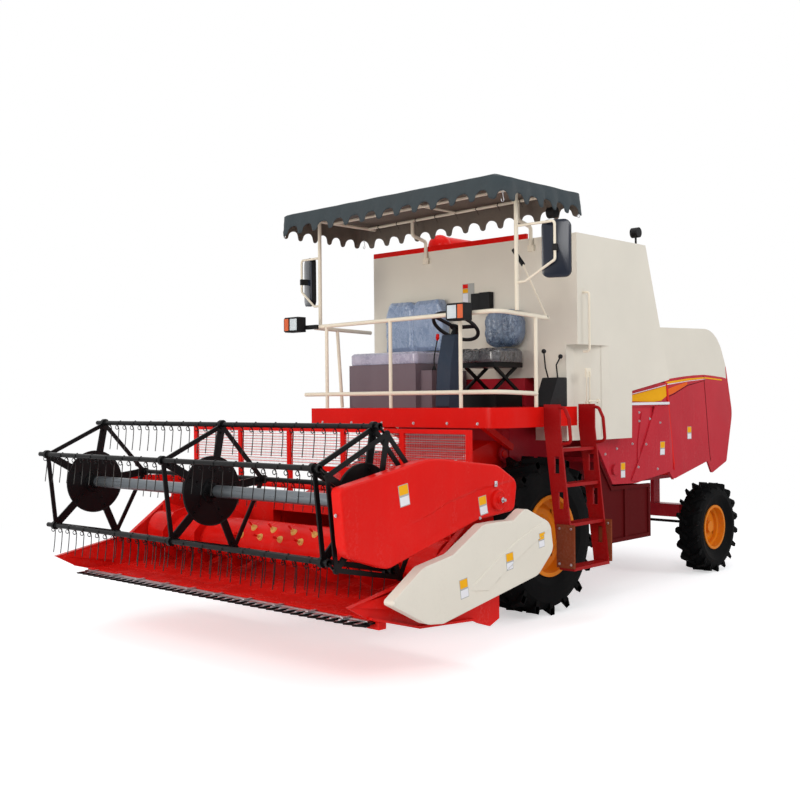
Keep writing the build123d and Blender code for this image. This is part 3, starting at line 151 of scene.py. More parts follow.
class Pattern:
    """A shader group that gives a colour, a roughness and a height; its methods add nodes to it."""

    def __init__(self, name, inputs):
        self.tree = bpy.data.node_groups.new(name, "ShaderNodeTree")
        for socket, value in inputs.items():
            kind = "NodeSocketColor" if isinstance(value, tuple) else "NodeSocketFloat"
            made = self.tree.interface.new_socket(socket, in_out="INPUT", socket_type=kind)
            made.default_value = (*value, 1) if isinstance(value, tuple) else value
        for socket, kind in (("Color", "Color"), ("Roughness", "Float"), ("Height", "Float")):
            self.tree.interface.new_socket(socket, in_out="OUTPUT", socket_type="NodeSocket" + kind)
        self.given = self.tree.nodes.new("NodeGroupInput").outputs
        self.out = self.tree.nodes.new("NodeGroupOutput").inputs
        self.where = node(self.tree, "ShaderNodeTexCoord").outputs["Object"]

    def noise(self, scale, detail=3.0, rough=0.55, where=None, distortion=0.0):
        return node(self.tree, "ShaderNodeTexNoise", {
            "Vector": self.where if where is None else where, "Scale": scale, "Detail": detail,
            "Roughness": rough, "Distortion": distortion}).outputs["Fac"]

    def stretched(self, *scale):
        return node(self.tree, "ShaderNodeMapping", {"Vector": self.where, "Scale": scale}).outputs[0]

    def times(self, a, b, clamp=False):
        return math_node(self.tree, "MULTIPLY", a, b, clamp)

    def plus(self, a, b, clamp=False):
        return math_node(self.tree, "ADD", a, b, clamp)

    def band(self, *numbers):
        return band(self.tree, *numbers)

    def mix(self, share, a, b):
        return node(self.tree, "ShaderNodeMix", {"Factor": share, 6: a, 7: b}, data_type="RGBA").outputs[2]

    def toned(self, colour, value):
        return node(self.tree, "ShaderNodeHueSaturation", {"Color": colour, "Value": value}).outputs[0]

    def give(self, colour, rough, height):
        for name, socket in (("Color", colour), ("Roughness", rough), ("Height", height)):
            self.tree.links.new(socket, self.out[name])
        return self.tree


def sprayed_paint(name):
    """Sprayed sheet metal: faint cloudiness, road dust that thickens near the ground, and orange peel."""
    made = Pattern(name, {"Paint": (0.5, 0.1, 0.1), "Dust": (0.42, 0.36, 0.30), "Dust Amount": 0.3,
                          "Cloud": 0.08, "Gloss": 0.28, "Wave": 1.0})
    height = node(made.tree, "ShaderNodeSeparateXYZ", {0: made.where}).outputs["Z"]
    streak = made.noise(1.0, 5.0, where=made.stretched(9, 9, 1.2))
    speck = made.band(made.noise(55.0, 5.0, 0.7), 0.42, 0.72)
    dusty = made.times(made.times(made.band(height, 1.9, 0.1), speck), made.band(streak, 0.35, 0.7))
    dusty = made.times(dusty, made.given["Dust Amount"], True)
    cloud = made.band(made.noise(1.7, 4.0), 0.3, 0.7, -1.0, 1.0)
    tone = made.toned(made.given["Paint"], made.plus(1.0, made.times(cloud, made.given["Cloud"])))
    rough = made.plus(made.given["Gloss"], made.times(dusty, 0.5))
    rough = made.plus(rough, made.band(streak, 0.2, 0.8, -0.03, 0.05), True)
    peel = made.times(made.noise(420.0, 1.0), 0.00012)
    wave = made.times(made.times(made.noise(2.3, 2.0), 0.02), made.given["Wave"])
    return made.give(made.mix(dusty, tone, made.given["Dust"]), rough, made.plus(peel, wave))


def moulded_rubber(name):
    """Moulded rubber or plastic: matt, greyer where it has met the ground."""
    made = Pattern(name, {"Rubber": (0.02, 0.02, 0.02), "Dust": (0.20, 0.17, 0.14), "Dust Amount": 0.4})
    patch, fine = made.noise(6.0, 6.0, 0.65), made.noise(140.0)
    dusty = made.times(made.band(patch, 0.42, 0.78), made.given["Dust Amount"], True)
    return made.give(made.mix(dusty, made.given["Rubber"], made.given["Dust"]),
                     made.band(fine, 0.2, 0.8, 0.52, 0.78), made.times(made.plus(fine, patch), 0.0006))


def plain_weave(name):
    """Plain woven cloth on the piece's own UV map, with faded patches."""
    made = Pattern(name, {"Thread": (0.1, 0.1, 0.1), "Gap": (0.02, 0.02, 0.02), "Threads": 900.0,
                          "Fade": 0.15})
    given, uv = made.given, node(made.tree, "ShaderNodeTexCoord").outputs["UV"]
    warp, weft = (node(made.tree, "ShaderNodeTexWave", {"Vector": uv, "Scale": given["Threads"]},
                       wave_type="BANDS", bands_direction=way, wave_profile="SIN").outputs["Fac"]
                  for way in "XY")
    cloth, patch = made.times(warp, weft), made.noise(3.2, 5.0, 0.6)
    tone = made.plus(1.0, made.times(made.band(patch, 0.3, 0.7, -1.0, 1.0), given["Fade"]))
    colour = made.mix(made.band(cloth, 0.0, 0.5, 0.55, 1.0), given["Gap"], given["Thread"])
    return made.give(made.toned(colour, tone), made.band(patch, 0.2, 0.8, 0.6, 0.85),
                     made.times(cloth, 0.0004))


def creased_film(name):
    """Clear film pulled over cloth: sharp creases with a painted highlight along them, over a mottled haze on
    the cloth's colour.
    """
    made = Pattern(name, {"Cloth": (0.2, 0.25, 0.4), "Haze": (0.6, 0.65, 0.75), "Crease Size": 14.0,
                          "Haze Amount": 0.4})
    given, bend = made.given, made.noise(5.0, 4.0)
    ridge = made.noise(given["Crease Size"], 5.0, 0.5, made.stretched(1.0, 1.6, 1.0), 1.6)
    fold = math_node(made.tree, "ABSOLUTE", math_node(made.tree, "SUBTRACT", ridge, 0.5))
    # painted highlight: the colour is lightened along each crease as if it caught the light
    crease = made.band(fold, 0.0, 0.06, 1.0, 0.0)
    # the lighter colour mixes the film's mottled haze with the painted highlight along the creases
    haze_and_highlight = math_node(made.tree, "MAXIMUM", crease, made.band(bend, 0.45, 0.75))
    haze_and_highlight = made.times(haze_and_highlight, given["Haze Amount"], True)
    return made.give(made.mix(haze_and_highlight, given["Cloth"], given["Haze"]), made.band(bend, 0.2, 0.8, 0.16, 0.4),
                     made.times(fold, 0.02))


def plated_steel(name):
    """Zinc-plated or worn bare steel: fine scratches and a mottled bloom."""
    made = Pattern(name, {"Metal": (0.6, 0.6, 0.62), "Stain": (0.2, 0.18, 0.16), "Stain Amount": 0.4})
    scratch = made.noise(1.0, 3.0, where=made.stretched(4, 160, 160))
    stain = made.times(made.band(made.noise(16.0, 5.0, 0.6), 0.45, 0.8), made.given["Stain Amount"], True)
    return made.give(made.mix(stain, made.given["Metal"], made.given["Stain"]),
                     made.band(scratch, 0.2, 0.8, 0.22, 0.45), made.times(scratch, 0.0003))


PATTERNS = {"Sprayed Paint": sprayed_paint, "Tyre Rubber": moulded_rubber, "Plain Weave": plain_weave,
            "Creased Film": creased_film, "Plated Steel": plated_steel}

# Each paint: name, colour or its setting, gloss, dust, cloudiness, waviness, mirror strength.
PAINTS = {
    "red": ("Bright Red Paint", "red", 0.24, 0.125, 0.06, 1.0, 0.08),
    # The ladder's paint holds painted shade: its red is darker than the platform's for the shade on the
    # ladder.
    "ladder_red": ("Ladder Red Paint", "ladder_red", 0.3, 0.15, 0.06, 1.0, 0.08),
    "crimson": ("Body Red Paint", "crimson", 0.24, 0.15, 0.06, 1.0, 0.08),
    "maroon": ("Guard Red Paint", "maroon", 0.5, 0.05, 0.06, 1.0, 0.03),
    "brown": ("Brown Red Paint", (0.20, 0.045, 0.018), 0.5, 0.2, 0.15, 0.0, 0.0),
    "cream": ("Cream Paint", "cream", 0.34, 0.125, 0.03, 1.0, 0.08),
    "cream_tube": ("Rail Cream Paint", "cream_tube", 0.34, 0.1, 0.03, 0.0, 0.08),
    "orange": ("Rim Orange Paint", "orange", 0.3, 0.25, 0.05, 0.0, 0.08),
    "black": ("Satin Black Paint", "black", 0.32, 0.01, 0.1, 0.0, 0.16),
    "grey": ("Box Grey Paint", "box_grey", 0.5, 0.1, 0.08, 1.0, 0.2),
    "guide": ("Finger Guide Plastic", (0.72, 0.43, 0.12), 0.4, 0.05, 0.05, 0.0, 0.08),
    "plate_yellow": ("Plate Yellow", (0.86, 0.42, 0.02), 0.4, 0.025, 0.03, 0.0, 0.0),
    "plate_white": ("Plate White", (0.78, 0.77, 0.80), 0.4, 0.025, 0.03, 0.0, 0.0),
    "plate_grey": ("Plate Edge Grey", (0.42, 0.42, 0.40), 0.45, 0.025, 0.03, 0.0, 0.0),
    "stripe_orange": ("Stripe Orange", (0.80, 0.14, 0.03), 0.3, 0.025, 0.03, 0.0, 0.0),
    "navy": ("Glossy Navy Plastic", (0.010, 0.014, 0.026), 0.16, 0.05, 0.05, 0.0, 0.35),
}

# The inputs those values go to, the relief where it isn't the usual one, and the shader's mirror input.
PAINT_INPUTS = ("Paint", "Gloss", "Dust Amount", "Cloud", "Wave")
PAINT_RELIEF = {"navy": 0.2}
MIRROR = "Specular IOR Level"

# Each pattern's inputs, and each finish in it: name, their values, relief, the shader's own values.
OTHERS = {
    "Tyre Rubber": (("Rubber", "Dust Amount"), {
        "black_plastic": ("Moulded Black Plastic", ((0.006, 0.006, 0.007), 0.03), 0.4, {MIRROR: 0.25}),
        "slate_plastic": ("Slate Plastic", ((0.020, 0.032, 0.055), 0.05), 0.4, {MIRROR: 0.25}),
        "tyre": ("Dusty Tyre Rubber", ((0.003, 0.0031, 0.0034), 0.02), 0.6, {MIRROR: 0.05}),
    }),
    "Plated Steel": (("Metal", "Stain Amount", "Stain"), {
        "steel": ("Bright Steel", ((0.56, 0.56, 0.58), 0.35), 0.4, {"Metallic": 1.0}),
        "tube_steel": ("Reel Tube Steel", ((0.17, 0.19, 0.21), 0.2), 0.3, {"Metallic": 0.8}),
        "galvanised": ("Galvanised Steel", ((0.50, 0.51, 0.53), 0.5, (0.26, 0.26, 0.27)), 0.4,
                       {"Metallic": 0.85}),
        "clear_lens": ("Clear Lens", ((0.62, 0.68, 0.70), 0.5, (0.40, 0.44, 0.48)), 0.2,
                       {"Coat Weight": 0.5, "Coat Roughness": 0.03}),
        "orange_lens": ("Orange Lens", ((0.62, 0.085, 0.004), 0.6, (0.75, 0.14, 0.006)), 0.2,
                        {"Coat Weight": 0.25, "Coat Roughness": 0.03}),
    }),
    "Plain Weave": (("Thread", "Gap", "Threads", "Fade"), {
        "canopy": ("Canopy Cloth", ("slate", (0.010, 0.015, 0.018), 500.0, 0.18), 0.5,
                   {"Sheen Weight": 0.05}),
        "lining": ("Canopy Lining", ((0.17, 0.135, 0.105), (0.06, 0.048, 0.038), 500.0, 0.2), 0.5, {}),
    }),
    # The second colour of each film finish is both the film's haze and the painted highlight along its
    # creases.
    "Creased Film": (("Cloth", "Haze", "Haze Amount", "Crease Size"), {
        "bench_pad": ("Wrapped Bench Vinyl", ((0.36, 0.34, 0.46), (0.72, 0.70, 0.80), 0.4, 9.0), 0.4,
                      {"Coat Weight": 0.7, "Coat Roughness": 0.12}),
        "bench_rest": ("Wrapped Bench Cloth", ("wrap", (0.48, 0.56, 0.73), 0.5), 0.6,
                       {"Coat Weight": 0.5, "Coat Roughness": 0.1}),
        "seat_pan": ("Wrapped Pan Cover", ((0.018, 0.018, 0.021), (0.42, 0.42, 0.46), 0.26, 14.0), 0.8,
                     {"Coat Weight": 0.9, "Coat Roughness": 0.08}),
        "seat_rest": ("Wrapped Back Cover", ((0.065, 0.10, 0.17), (0.34, 0.44, 0.58), 0.5, 16.0), 0.8,
                      {"Coat Weight": 0.6, "Coat Roughness": 0.1}),
    }),
}

GROUPS = {}
FINISHES = {}


def finish_row(key):
    """A finish from the tables: name, pattern, the pattern's values by input, relief, the shader's values."""
    if key in PAINTS:
        name, *values, shine = PAINTS[key]
        relief = PAINT_RELIEF.get(key, 0.35)
        return name, "Sprayed Paint", dict(zip(PAINT_INPUTS, values)), relief, {MIRROR: shine}
    pattern, inputs, rows = next((p, i, rows) for p, (i, rows) in OTHERS.items() if key in rows)
    name, values, relief, own = rows[key]
    return name, pattern, dict(zip(inputs, values)), relief, own


def finish(key):
    """A material: its pattern feeds one Principled shader that keeps its own plain numbers."""
    if key in FINISHES:
        return FINISHES[key]
    name, pattern_name, values, relief, own = finish_row(key)
    if pattern_name not in GROUPS:
        GROUPS[pattern_name] = PATTERNS[pattern_name](pattern_name)
    material = bpy.data.materials.new(name)
    material.use_nodes = True
    tree = material.node_tree
    tree.nodes.clear()
    pattern = tree.nodes.new("ShaderNodeGroup")
    pattern.node_tree = GROUPS[pattern_name]
    for socket, value in values.items():
        if isinstance(value, str):
            value = getattr(colours(), value)
        pattern.inputs[socket].default_value = value if isinstance(value, float) else (*value[:3], 1.0)
    bump = node(tree, "ShaderNodeBump", {"Height": pattern.outputs["Height"], "Strength": relief,
                                         "Distance": 1.0})
    principled = node(tree, "ShaderNodeBsdfPrincipled", {
        "Base Color": pattern.outputs["Color"], "Roughness": pattern.outputs["Roughness"],
        "Normal": bump.outputs[0], **own})
    node(tree, "ShaderNodeOutputMaterial", {"Surface": principled.outputs[0]}, is_active_output=True)
    FINISHES[key] = material
    return material


# ---- making pieces


def dress(obj, material):
    """Gives an object one material in place of what it had."""
    obj.data.materials.clear()
    obj.data.materials.append(material)


def in_scene(name, data):
    """A new object around some data, linked to the scene."""
    obj = bpy.data.objects.new(name, data)
    bpy.context.scene.collection.objects.link(obj)
    return obj


def mesh_of(name, bm):
    """A mesh of what a bmesh holds; the bmesh is freed."""
    mesh = bpy.data.meshes.new(name)
    bm.to_mesh(mesh)
    bm.free()
    return mesh


def piece(name, bm, body, finishes, smooth=30):
    """A finished piece: its mesh holds its place and its faces' materials, and it rides on a body."""
    obj = in_scene(name, mesh_of(name, bm))
    for key in finishes.split():
        obj.data.materials.append(finish(key))
    if smooth:
        obj.data.shade_smooth()
        obj.data.set_sharp_from_angle(angle=math.radians(smooth))
    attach(obj, body)
    return obj


def only(geom, kind):
    """The items of one kind in what a bmesh operator gave back."""
    return [item for item in geom if isinstance(item, kind)]


def with_borders(faces):
    """Faces together with their corners and edges."""
    return list({v for f in faces for v in f.verts} | {e for f in faces for e in f.edges} | set(faces))


def add_mesh(bm, mesh):
    """Joins a mesh into bm and removes it."""
    bm.from_mesh(mesh)
    bpy.data.meshes.remove(mesh)


def bevel_edges(bm, edges, width, segments=2):
    bmesh.ops.bevel(bm, geom=list(edges), offset=width, segments=segments, affect="EDGES", profile=0.5,
                    material=-1, clamp_overlap=True)


def facing(normal, up=(0, 0, 1)):
    """A turn whose Z looks along normal."""
    z = Vector(normal).normalized()
    x = Vector(up).cross(z)
    if x.length < 1e-6:
        x = LEFTWARD.copy()
    x.normalize()
    return Matrix((x, z.cross(x), z)).transposed().to_4x4()


def add_box(bm, low, high, bevel=0.0, material=0):
    """A box between two corners, with its edges rounded."""
    low, high = Vector(low), Vector(high)
    size = Matrix.Diagonal((*(abs(side) for side in high - low), 1))
    verts = bmesh.ops.create_cube(bm, size=1.0, matrix=Matrix.Translation((low + high) / 2) @ size)["verts"]
    for f in {f for v in verts for f in v.link_faces}:
        f.material_index = material
    if bevel:
        bevel_edges(bm, {e for v in verts for e in v.link_edges}, bevel)


def add_rod(bm, start, end, radius, sides=16, end_radius=None):
    """A round rod or cone between two places."""
    start, end = Vector(start), Vector(end)
    run = end - start
    bmesh.ops.create_cone(bm, cap_ends=True, segments=sides, radius1=radius,
                          radius2=radius if end_radius is None else end_radius, depth=run.length,
                          matrix=Matrix.Translation((start + end) / 2) @ facing(run, (0.3, 0.2, 1)))


def add_bolt(bm, at, normal, width):
    """A hexagon bolt head on its washer, standing on a surface."""
    at, normal = Vector(at), Vector(normal).normalized()
    seat = at + normal * width * 0.12
    add_rod(bm, at, seat, width * 0.75, 12)
    add_rod(bm, seat, at + normal * width * 0.55, width / 1.732, 6, width / 1.9)


def add_wires(bm, lines, radius, resolution=1, kind="POLY"):
    """Round wires that follow the given lines of points."""
    curve = bpy.data.curves.new("wire", "CURVE")
    curve.dimensions = "3D"
    curve.bevel_depth = radius
    curve.bevel_resolution = resolution
    curve.use_fill_caps = True
    curve.resolution_u = 4
    for line in lines:
        spline = curve.splines.new(kind)
        spline.points.add(len(line) - 1)
        for point, place in zip(spline.points, line):
            point.co = (*place, 1)
        if kind == "NURBS":
            spline.order_u = 3
            spline.use_endpoint_u = True
    holder = in_scene("wire", curve)
    bpy.context.view_layer.update()
    mesh = bpy.data.meshes.new_from_object(holder.evaluated_get(bpy.context.evaluated_depsgraph_get()))
    bpy.data.objects.remove(holder)
    bpy.data.curves.remove(curve)
    add_mesh(bm, mesh)


def ring(middle, radius, steps, across=(1, 2)):
    """A closed round line about a middle, in the plane of two axes."""
    line = []
    for k in range(steps + 1):
        place = Vector(middle)
        place[across[0]] += radius * math.cos(math.tau * k / steps)
        place[across[1]] += radius * math.sin(math.tau * k / steps)
        line.append(place)
    return line


def rounded_line(corners, radius, steps=5):
    """A line through corners with each turn rounded."""
    line = [Vector(corners[0])]
    for before, corner, after in zip(corners, corners[1:], corners[2:]):
        before, corner, after = Vector(before), Vector(corner), Vector(after)
        a, b = (before - corner), (after - corner)
        cut = min(radius, a.length * 0.45, b.length * 0.45)
        start, end = corner + a.normalized() * cut, corner + b.normalized() * cut
        for k in range(steps + 1):
            t = k / steps
            line.append(start * (1 - t) ** 2 + corner * 2 * t * (1 - t) + end * t * t)
    line.append(Vector(corners[-1]))
    return line


def noise_at(place, scale):
    return noise.noise(Vector(place) * scale)


def smooth_step(value, low, high):
    t = min(max((value - low) / (high - low), 0.0), 1.0)
    return t * t * (3 - 2 * t)


# ---- paint
OPERATORS = []


def step(cls):
    """Keeps an operator in the order in which main calls it."""
    OPERATORS.append(cls)
    return cls


def sided(*names):
    """The left and the right node of each name."""
    return [f"{name}_{side}" for name in names for side in ("left", "right")]


@step
class HARVESTER_OT_paint(bpy.types.Operator):
    """Give every CAD node its paint, rubber, cloth or metal"""

    bl_idname = "harvester.paint"
    bl_label = "Paint the frame"

    def execute(self, context):
        finishes = {
            # the ladder gets the red with painted shade in it
            "ladder_red": ["ladder"],
            "red": ["deck", "feeder", "header_table", "header_sides", "header_screen", "auger",
                    "reel_arms", "reel_cover", "unload_tube", "tank_rim"],
            "crimson": ["front_axle", "rear_axle", "body", "hood_sides", "grain_elevator", "side_panels"],
            "maroon": ["lower_shields"],
            "cream": ["grain_tank", "hood_top", "drive_cover"],
            "cream_tube": ["railing", "canopy_frame", "mirror_arms"],
            "orange": sided("front_rim", "rear_rim"),
            "black": [*sided("knuckle"), "tie_rod", "seat_base", "knife_guards", "reel_frame", "control_ring",
                      "lift_barrels", *(f"tine_bar_{k}" for k in range(1, REEL_BARS + 1))],
            "grey": ["bench_box"],
            "black_plastic": ["mirrors", "steering_wheel", "lever_console", "lamp_housings"],
            "slate_plastic": ["steering_column"],
            "tyre": sided("front_tyre", "rear_tyre"),
            "steel": ["knife", "lift_rods"],
            "canopy": ["canopy"],
            "bench_rest": ["bench_cushion", "bench_back", "seat_cushion", "seat_back"],
            "clear_lens": ["lamp_lenses"],
            "orange_lens": ["indicator_lenses"],
        }
        left = set(NODES)
        for key, names in finishes.items():
            for name in names:
                dress(NODES[name], finish(key))
                left.discard(name)
        if left:
            raise RuntimeError(f"nodes without a finish: {sorted(left)}")
        return {"FINISHED"}


# ---- canopy


def canopy_sheet(low, high):
    """One sheet over the canopy's tubes, cut so that its hanging edge ends in round tabs."""
    middle, half = (low + high) / 2, (high - low) / 2
    half.x += 0.022
    top, tilt = high.z + 0.010, 0.010
    # scallops along x and y, grid columns in each, rows of the drop and the radius of the corners
    scallops, columns, rows, corner = (13, 6), 14, 8, 0.11

    bm = bmesh.new()
    bmesh.ops.create_grid(bm, x_segments=scallops[0] * columns, y_segments=scallops[1] * columns, size=1.0)
    flat = bm.verts.layers.float_vector.new("flat")
    for v in bm.verts:
        v[flat] = (v.co.x * half.x, v.co.y * half.y, 0.0)
    edge = [e for e in bm.edges if e.is_boundary]
    for row in range(1, rows + 1):
        made = bmesh.ops.extrude_edge_only(bm, edges=edge)["geom"]
        for v in only(made, VERT):
            v[flat] = (v[flat].x, v[flat].y, row / rows)
        edge = [e for e in only(made, EDGE) if all(v[flat].z == row / rows for v in e.verts)]

    pitch = (2 * half.x / scallops[0], 2 * half.y / scallops[1])
    cut = {}
    for v in bm.verts:
        x, y, level = v[flat]
        px, py, out = x, y, Vector((0, 0))
        over_x, over_y = abs(x) - (half.x - corner), abs(y) - (half.y - corner)
        if over_x > 0 and over_y > 0:
            scale = max(over_x, over_y) / math.hypot(over_x, over_y)
            px = math.copysign(half.x - corner + over_x * scale, x)
            py = math.copysign(half.y - corner + over_y * scale, y)
            out = Vector((math.copysign(over_x, x), math.copysign(over_y, y))).normalized()
        elif over_x >= corner - 1e-5:
            out = Vector((math.copysign(1, x), 0))
        elif over_y >= corner - 1e-5:
            out = Vector((0, math.copysign(1, y)))
        # each tab is an ellipse, and each gap between two tabs is a wider one upside down
        along_x = abs(abs(y) - half.y) < 1e-4
        t = ((x + half.x) / pitch[0] if along_x else (y + half.y) / pitch[1]) % 1.0
        from_tab = abs(2 * t - 1)
        if from_tab < 0.4:
            tab = 0.5 + 0.5 * math.sqrt(1 - (from_tab / 0.4) ** 2)
        else:
            tab = 0.5 - 0.5 * math.sqrt(max(0.0, 1 - ((1 - from_tab) / 0.6) ** 2))
        hang = level * (0.105 + sizes().scallop * tab * smooth_step(level, 0.15, 1.0))
        # the sheet rolls over its outer tubes and sags between the tubes
        roll = (0.034 if px > 0 else 0.014) * smooth_step(abs(px), half.x - 0.12, half.x)
        roll += 0.012 * smooth_step(abs(py), half.y - 0.045, half.y)
        sag = 0.007 * abs(math.sin((py + 0.47) / 0.435 * math.pi) * math.sin((px - 0.02) / 1.06 * math.pi))
        ripple = 0.003 * noise_at((px, py, 0), 5.0)
        z = top + tilt * (px - half.x) - 0.012 - roll - sag + ripple - hang
        billow = 0.012 * noise_at((px * 1.3, py * 1.3, 4.0), 4.0) + 0.009 * math.cos(math.pi * 2 * (t - 0.5))
        push = level * (billow + 0.010) + 0.006 * noise_at((px, py, hang * 3), 16.0) * level
        v.co = (middle.x + px + out.x * push, middle.y + py + out.y * push, z)
        cut[v] = (x + out.x * hang, y + out.y * hang)
    uv = bm.loops.layers.uv.new("UVMap")
    for f in bm.faces:
        for loop in f.loops:
            loop[uv].uv = cut[loop.vert]
    bmesh.ops.recalc_face_normals(bm, faces=bm.faces)
    bm.normal_update()
    if sum(f.normal.z * f.calc_area() for f in bm.faces) < 0:
        bmesh.ops.reverse_faces(bm, faces=bm.faces)

    cloth = piece("canopy_cloth", bm, "chassis", "canopy lining", 60)
    wall = cloth.modifiers.new("Thickness", "SOLIDIFY")
    wall.thickness = 0.0016
    wall.offset = -1
    wall.material_offset = 1
    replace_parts(cloth, "canopy")


def canopy_ties():
    """Loops with loose ends that tie the cloth to a tube of its frame."""
    bm = bmesh.new()
    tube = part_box("canopy_frame")[1].z
    for k in range(9):
        x = -0.88 + k * 0.23
        place = spot(x, 0.02, tube - 0.014 + 0.0178 * (x - 1.112))
        loop = ring(place, 0.015, 12)
        for j, point in enumerate(loop):
            point.x += 0.002 * math.sin(3 * math.tau * j / 12)
        end = [place + Vector(move) for move in
               ((0, 0.004, -0.014), (0.004, 0.01, -0.035), (0.012, 0.012, -0.05))]
        add_wires(bm, [loop], 0.0035)
        add_wires(bm, [end], 0.0018)
    piece("canopy_ties", bm, "chassis", "black_plastic")


def canopy_hooks(low, high):
    """A wire hook at each corner of the canopy."""
    bm = bmesh.new()
    for x, z in ((low.x + 0.012, 3.236), (high.x - 0.012, 3.240)):
        for y in (low.y + 0.034, high.y - 0.034):
            eye = Vector((x, y, z))
            hook = [eye + Vector((dx, 0, dz)) for dx, dz in
                    ((0.004, -0.008), (0.002, -0.035), (0.014, -0.062), (0.0, -0.078), (-0.014, -0.066),
                     (-0.012, -0.05))]
            add_wires(bm, [ring(eye, 0.009, 12, (0, 2))], 0.0022)
            add_wires(bm, [hook], 0.0025, kind="NURBS")
    piece("canopy_hooks", bm, "chassis", "steel")


@step
class HARVESTER_OT_canopy(bpy.types.Operator):
    """Lay the canopy's cloth over its tubes, with a scalloped edge hanging all round"""

    bl_idname = "harvester.canopy"
    bl_label = "Canopy cloth"

    def execute(self, context):
        low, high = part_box("canopy")
        canopy_sheet(low, high)
        canopy_ties()
        canopy_hooks(low, high)
        return {"FINISHED"}


# ---- cushions


def copied_node(name):
    """A merged copy of a CAD node's mesh."""
    bm = bmesh.new()
    bm.from_mesh(NODES[name].data)
    bmesh.ops.remove_doubles(bm, verts=bm.verts, dist=2e-5)
    return bm


def stuffed(name, node_name, shrink, cap, shape):
    """A pad grown from its CAD solid: shrunk, remeshed, blown up as cloth, then given its seams."""
    scene = bpy.context.scene
    bm = copied_node(node_name)
    low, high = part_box(node_name)
    middle, size = (low + high) / 2, high - low
    for v in bm.verts:
        for k in range(3):
            v.co[k] = middle[k] + (v.co[k] - middle[k]) * (1 - 2 * shrink / size[k])
    obj = in_scene(name, mesh_of(name, bm))
    remesh = obj.modifiers.new("Remesh", "REMESH")
    remesh.mode = "VOXEL"
    remesh.voxel_size = 0.008

    def bake():
        bpy.context.view_layer.update()
        made = bpy.data.meshes.new_from_object(obj.evaluated_get(bpy.context.evaluated_depsgraph_get()))
        obj.modifiers.clear()
        obj.data = made
        return [v.co.copy() for v in made.vertices]

    start = bake()
    cloth = obj.modifiers.new("Cloth", "CLOTH")
    cloth.settings.use_pressure = True
    cloth.settings.uniform_pressure_force = 4
    cloth.settings.effector_weights.gravity = 0
    for frame_number in range(1, 21):
        scene.frame_set(frame_number)
    grown = bake()
    scene.frame_set(1)
    for v, before, after in zip(obj.data.vertices, start, grown):
        move = after - before
        v.co = before + (move if move.length <= cap else move.normalized() * cap)
    for v in obj.data.vertices:
        v.co = shape(v.co.copy(), low, high)
    # the finish has the pad's own name
    dress(obj, finish(name))
    obj.data.shade_smooth()
    subdivision = obj.modifiers.new("Subdivision", "SUBSURF")
    subdivision.levels = subdivision.render_levels = 1
    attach(obj, "chassis")
    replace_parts(obj, node_name)


def film_creases(place, amount):
    """How far clear film pulled over a pad stands off it at a place."""
    x, y, z = place
    pull = abs(noise_at((x, y, z * 0.35), 22.0))
    fine = abs(noise_at((x + z * 0.4, y, z), 48.0))
    return amount * (0.7 * (1 - min(pull * 2.6, 1.0)) + 0.3 * (1 - min(fine * 2.6, 1.0)))


def pad_edge(place, low, high, width):
    """0 at the pad's outline and 1 further in, seen along its thinnest way."""
    size = high - low
    thin = min(range(3), key=lambda k: size[k])
    return min(smooth_step(min(place[k] - low[k], high[k] - place[k]), 0.0, width)
               for k in range(3) if k != thin)


def lying_pad(edge, swell, film, hollow, fall, above):
    """The shape of a flat pad: a swollen or hollow top under creased film, and a level base."""
    def shape(co, low, high):
        if co.z > (low.z + high.z) / 2:
            share = pad_edge(co, low, high, edge)
            dip = 1 - smooth_step((co.xy - ((low + high) / 2).xy).length, 0.05, 0.20)
            co.z += swell * share + film_creases(co, film) - hollow * dip - fall * (1 - share)
        elif co.z < low.z + 0.012:
            co.z = low.z + 0.001
        co.z = min(co.z, high.z + above)
        return co
    return shape


def bench_rest(co, low, high):
    """Two pleated lobes side by side on the bench's back."""
    if co.y < (low.y + high.y) / 2:
        from_middle = co.x - (low.x + high.x) / 2
        pleat = min(abs(math.sin(from_middle / 0.062 * math.pi)) * 1.6, 1.0)
        lobe = smooth_step(abs(from_middle), 0.0, 0.05)
        inside = pad_edge(co, low, high, 0.10)
        co.y -= 0.010 * inside * pleat + 0.020 * inside * (lobe - 0.5) + film_creases(co, 0.006)
    co.y = max(co.y, low.y - 0.022)
    return co


def seat_rest(co, low, high):
    """A swollen back with pleats that lean."""
    if co.y < (low.y + high.y) / 2:
        pleat = abs(math.sin((co.x - (low.x + high.x) / 2 + (co.z - high.z) * 0.12) / 0.055 * math.pi))
        co.y -= pad_edge(co, low, high, 0.12) * (0.022 + 0.008 * pleat) + film_creases(co, 0.008)
    return co


@step
class HARVESTER_OT_seats(bpy.types.Operator):
    """Blow up the bench and seat pads and pull their clear film over them"""

    bl_idname = "harvester.seats"
    bl_label = "Cushions"

    def execute(self, context):
        bench_pad = lying_pad(0.05, 0.004, 0.004, 0.0, 0.010, 0.006)
        seat_pan = lying_pad(0.09, 0.0, 0.010, 0.022, 0.012, 0.008)
        stuffed("bench_pad", "bench_cushion", 0.008, 0.014, bench_pad)
        stuffed("bench_rest", "bench_back", 0.008, 0.016, bench_rest)
        stuffed("seat_pan", "seat_cushion", 0.010, 0.016, seat_pan)
        stuffed("seat_rest", "seat_back", 0.010, 0.018, seat_rest)
        return {"FINISHED"}


# ---- tines


def reel_arm(radius, turn):
    """A step out from the reel's axis at a turn."""
    return Vector((0, -radius * math.sin(turn), radius * math.cos(turn)))


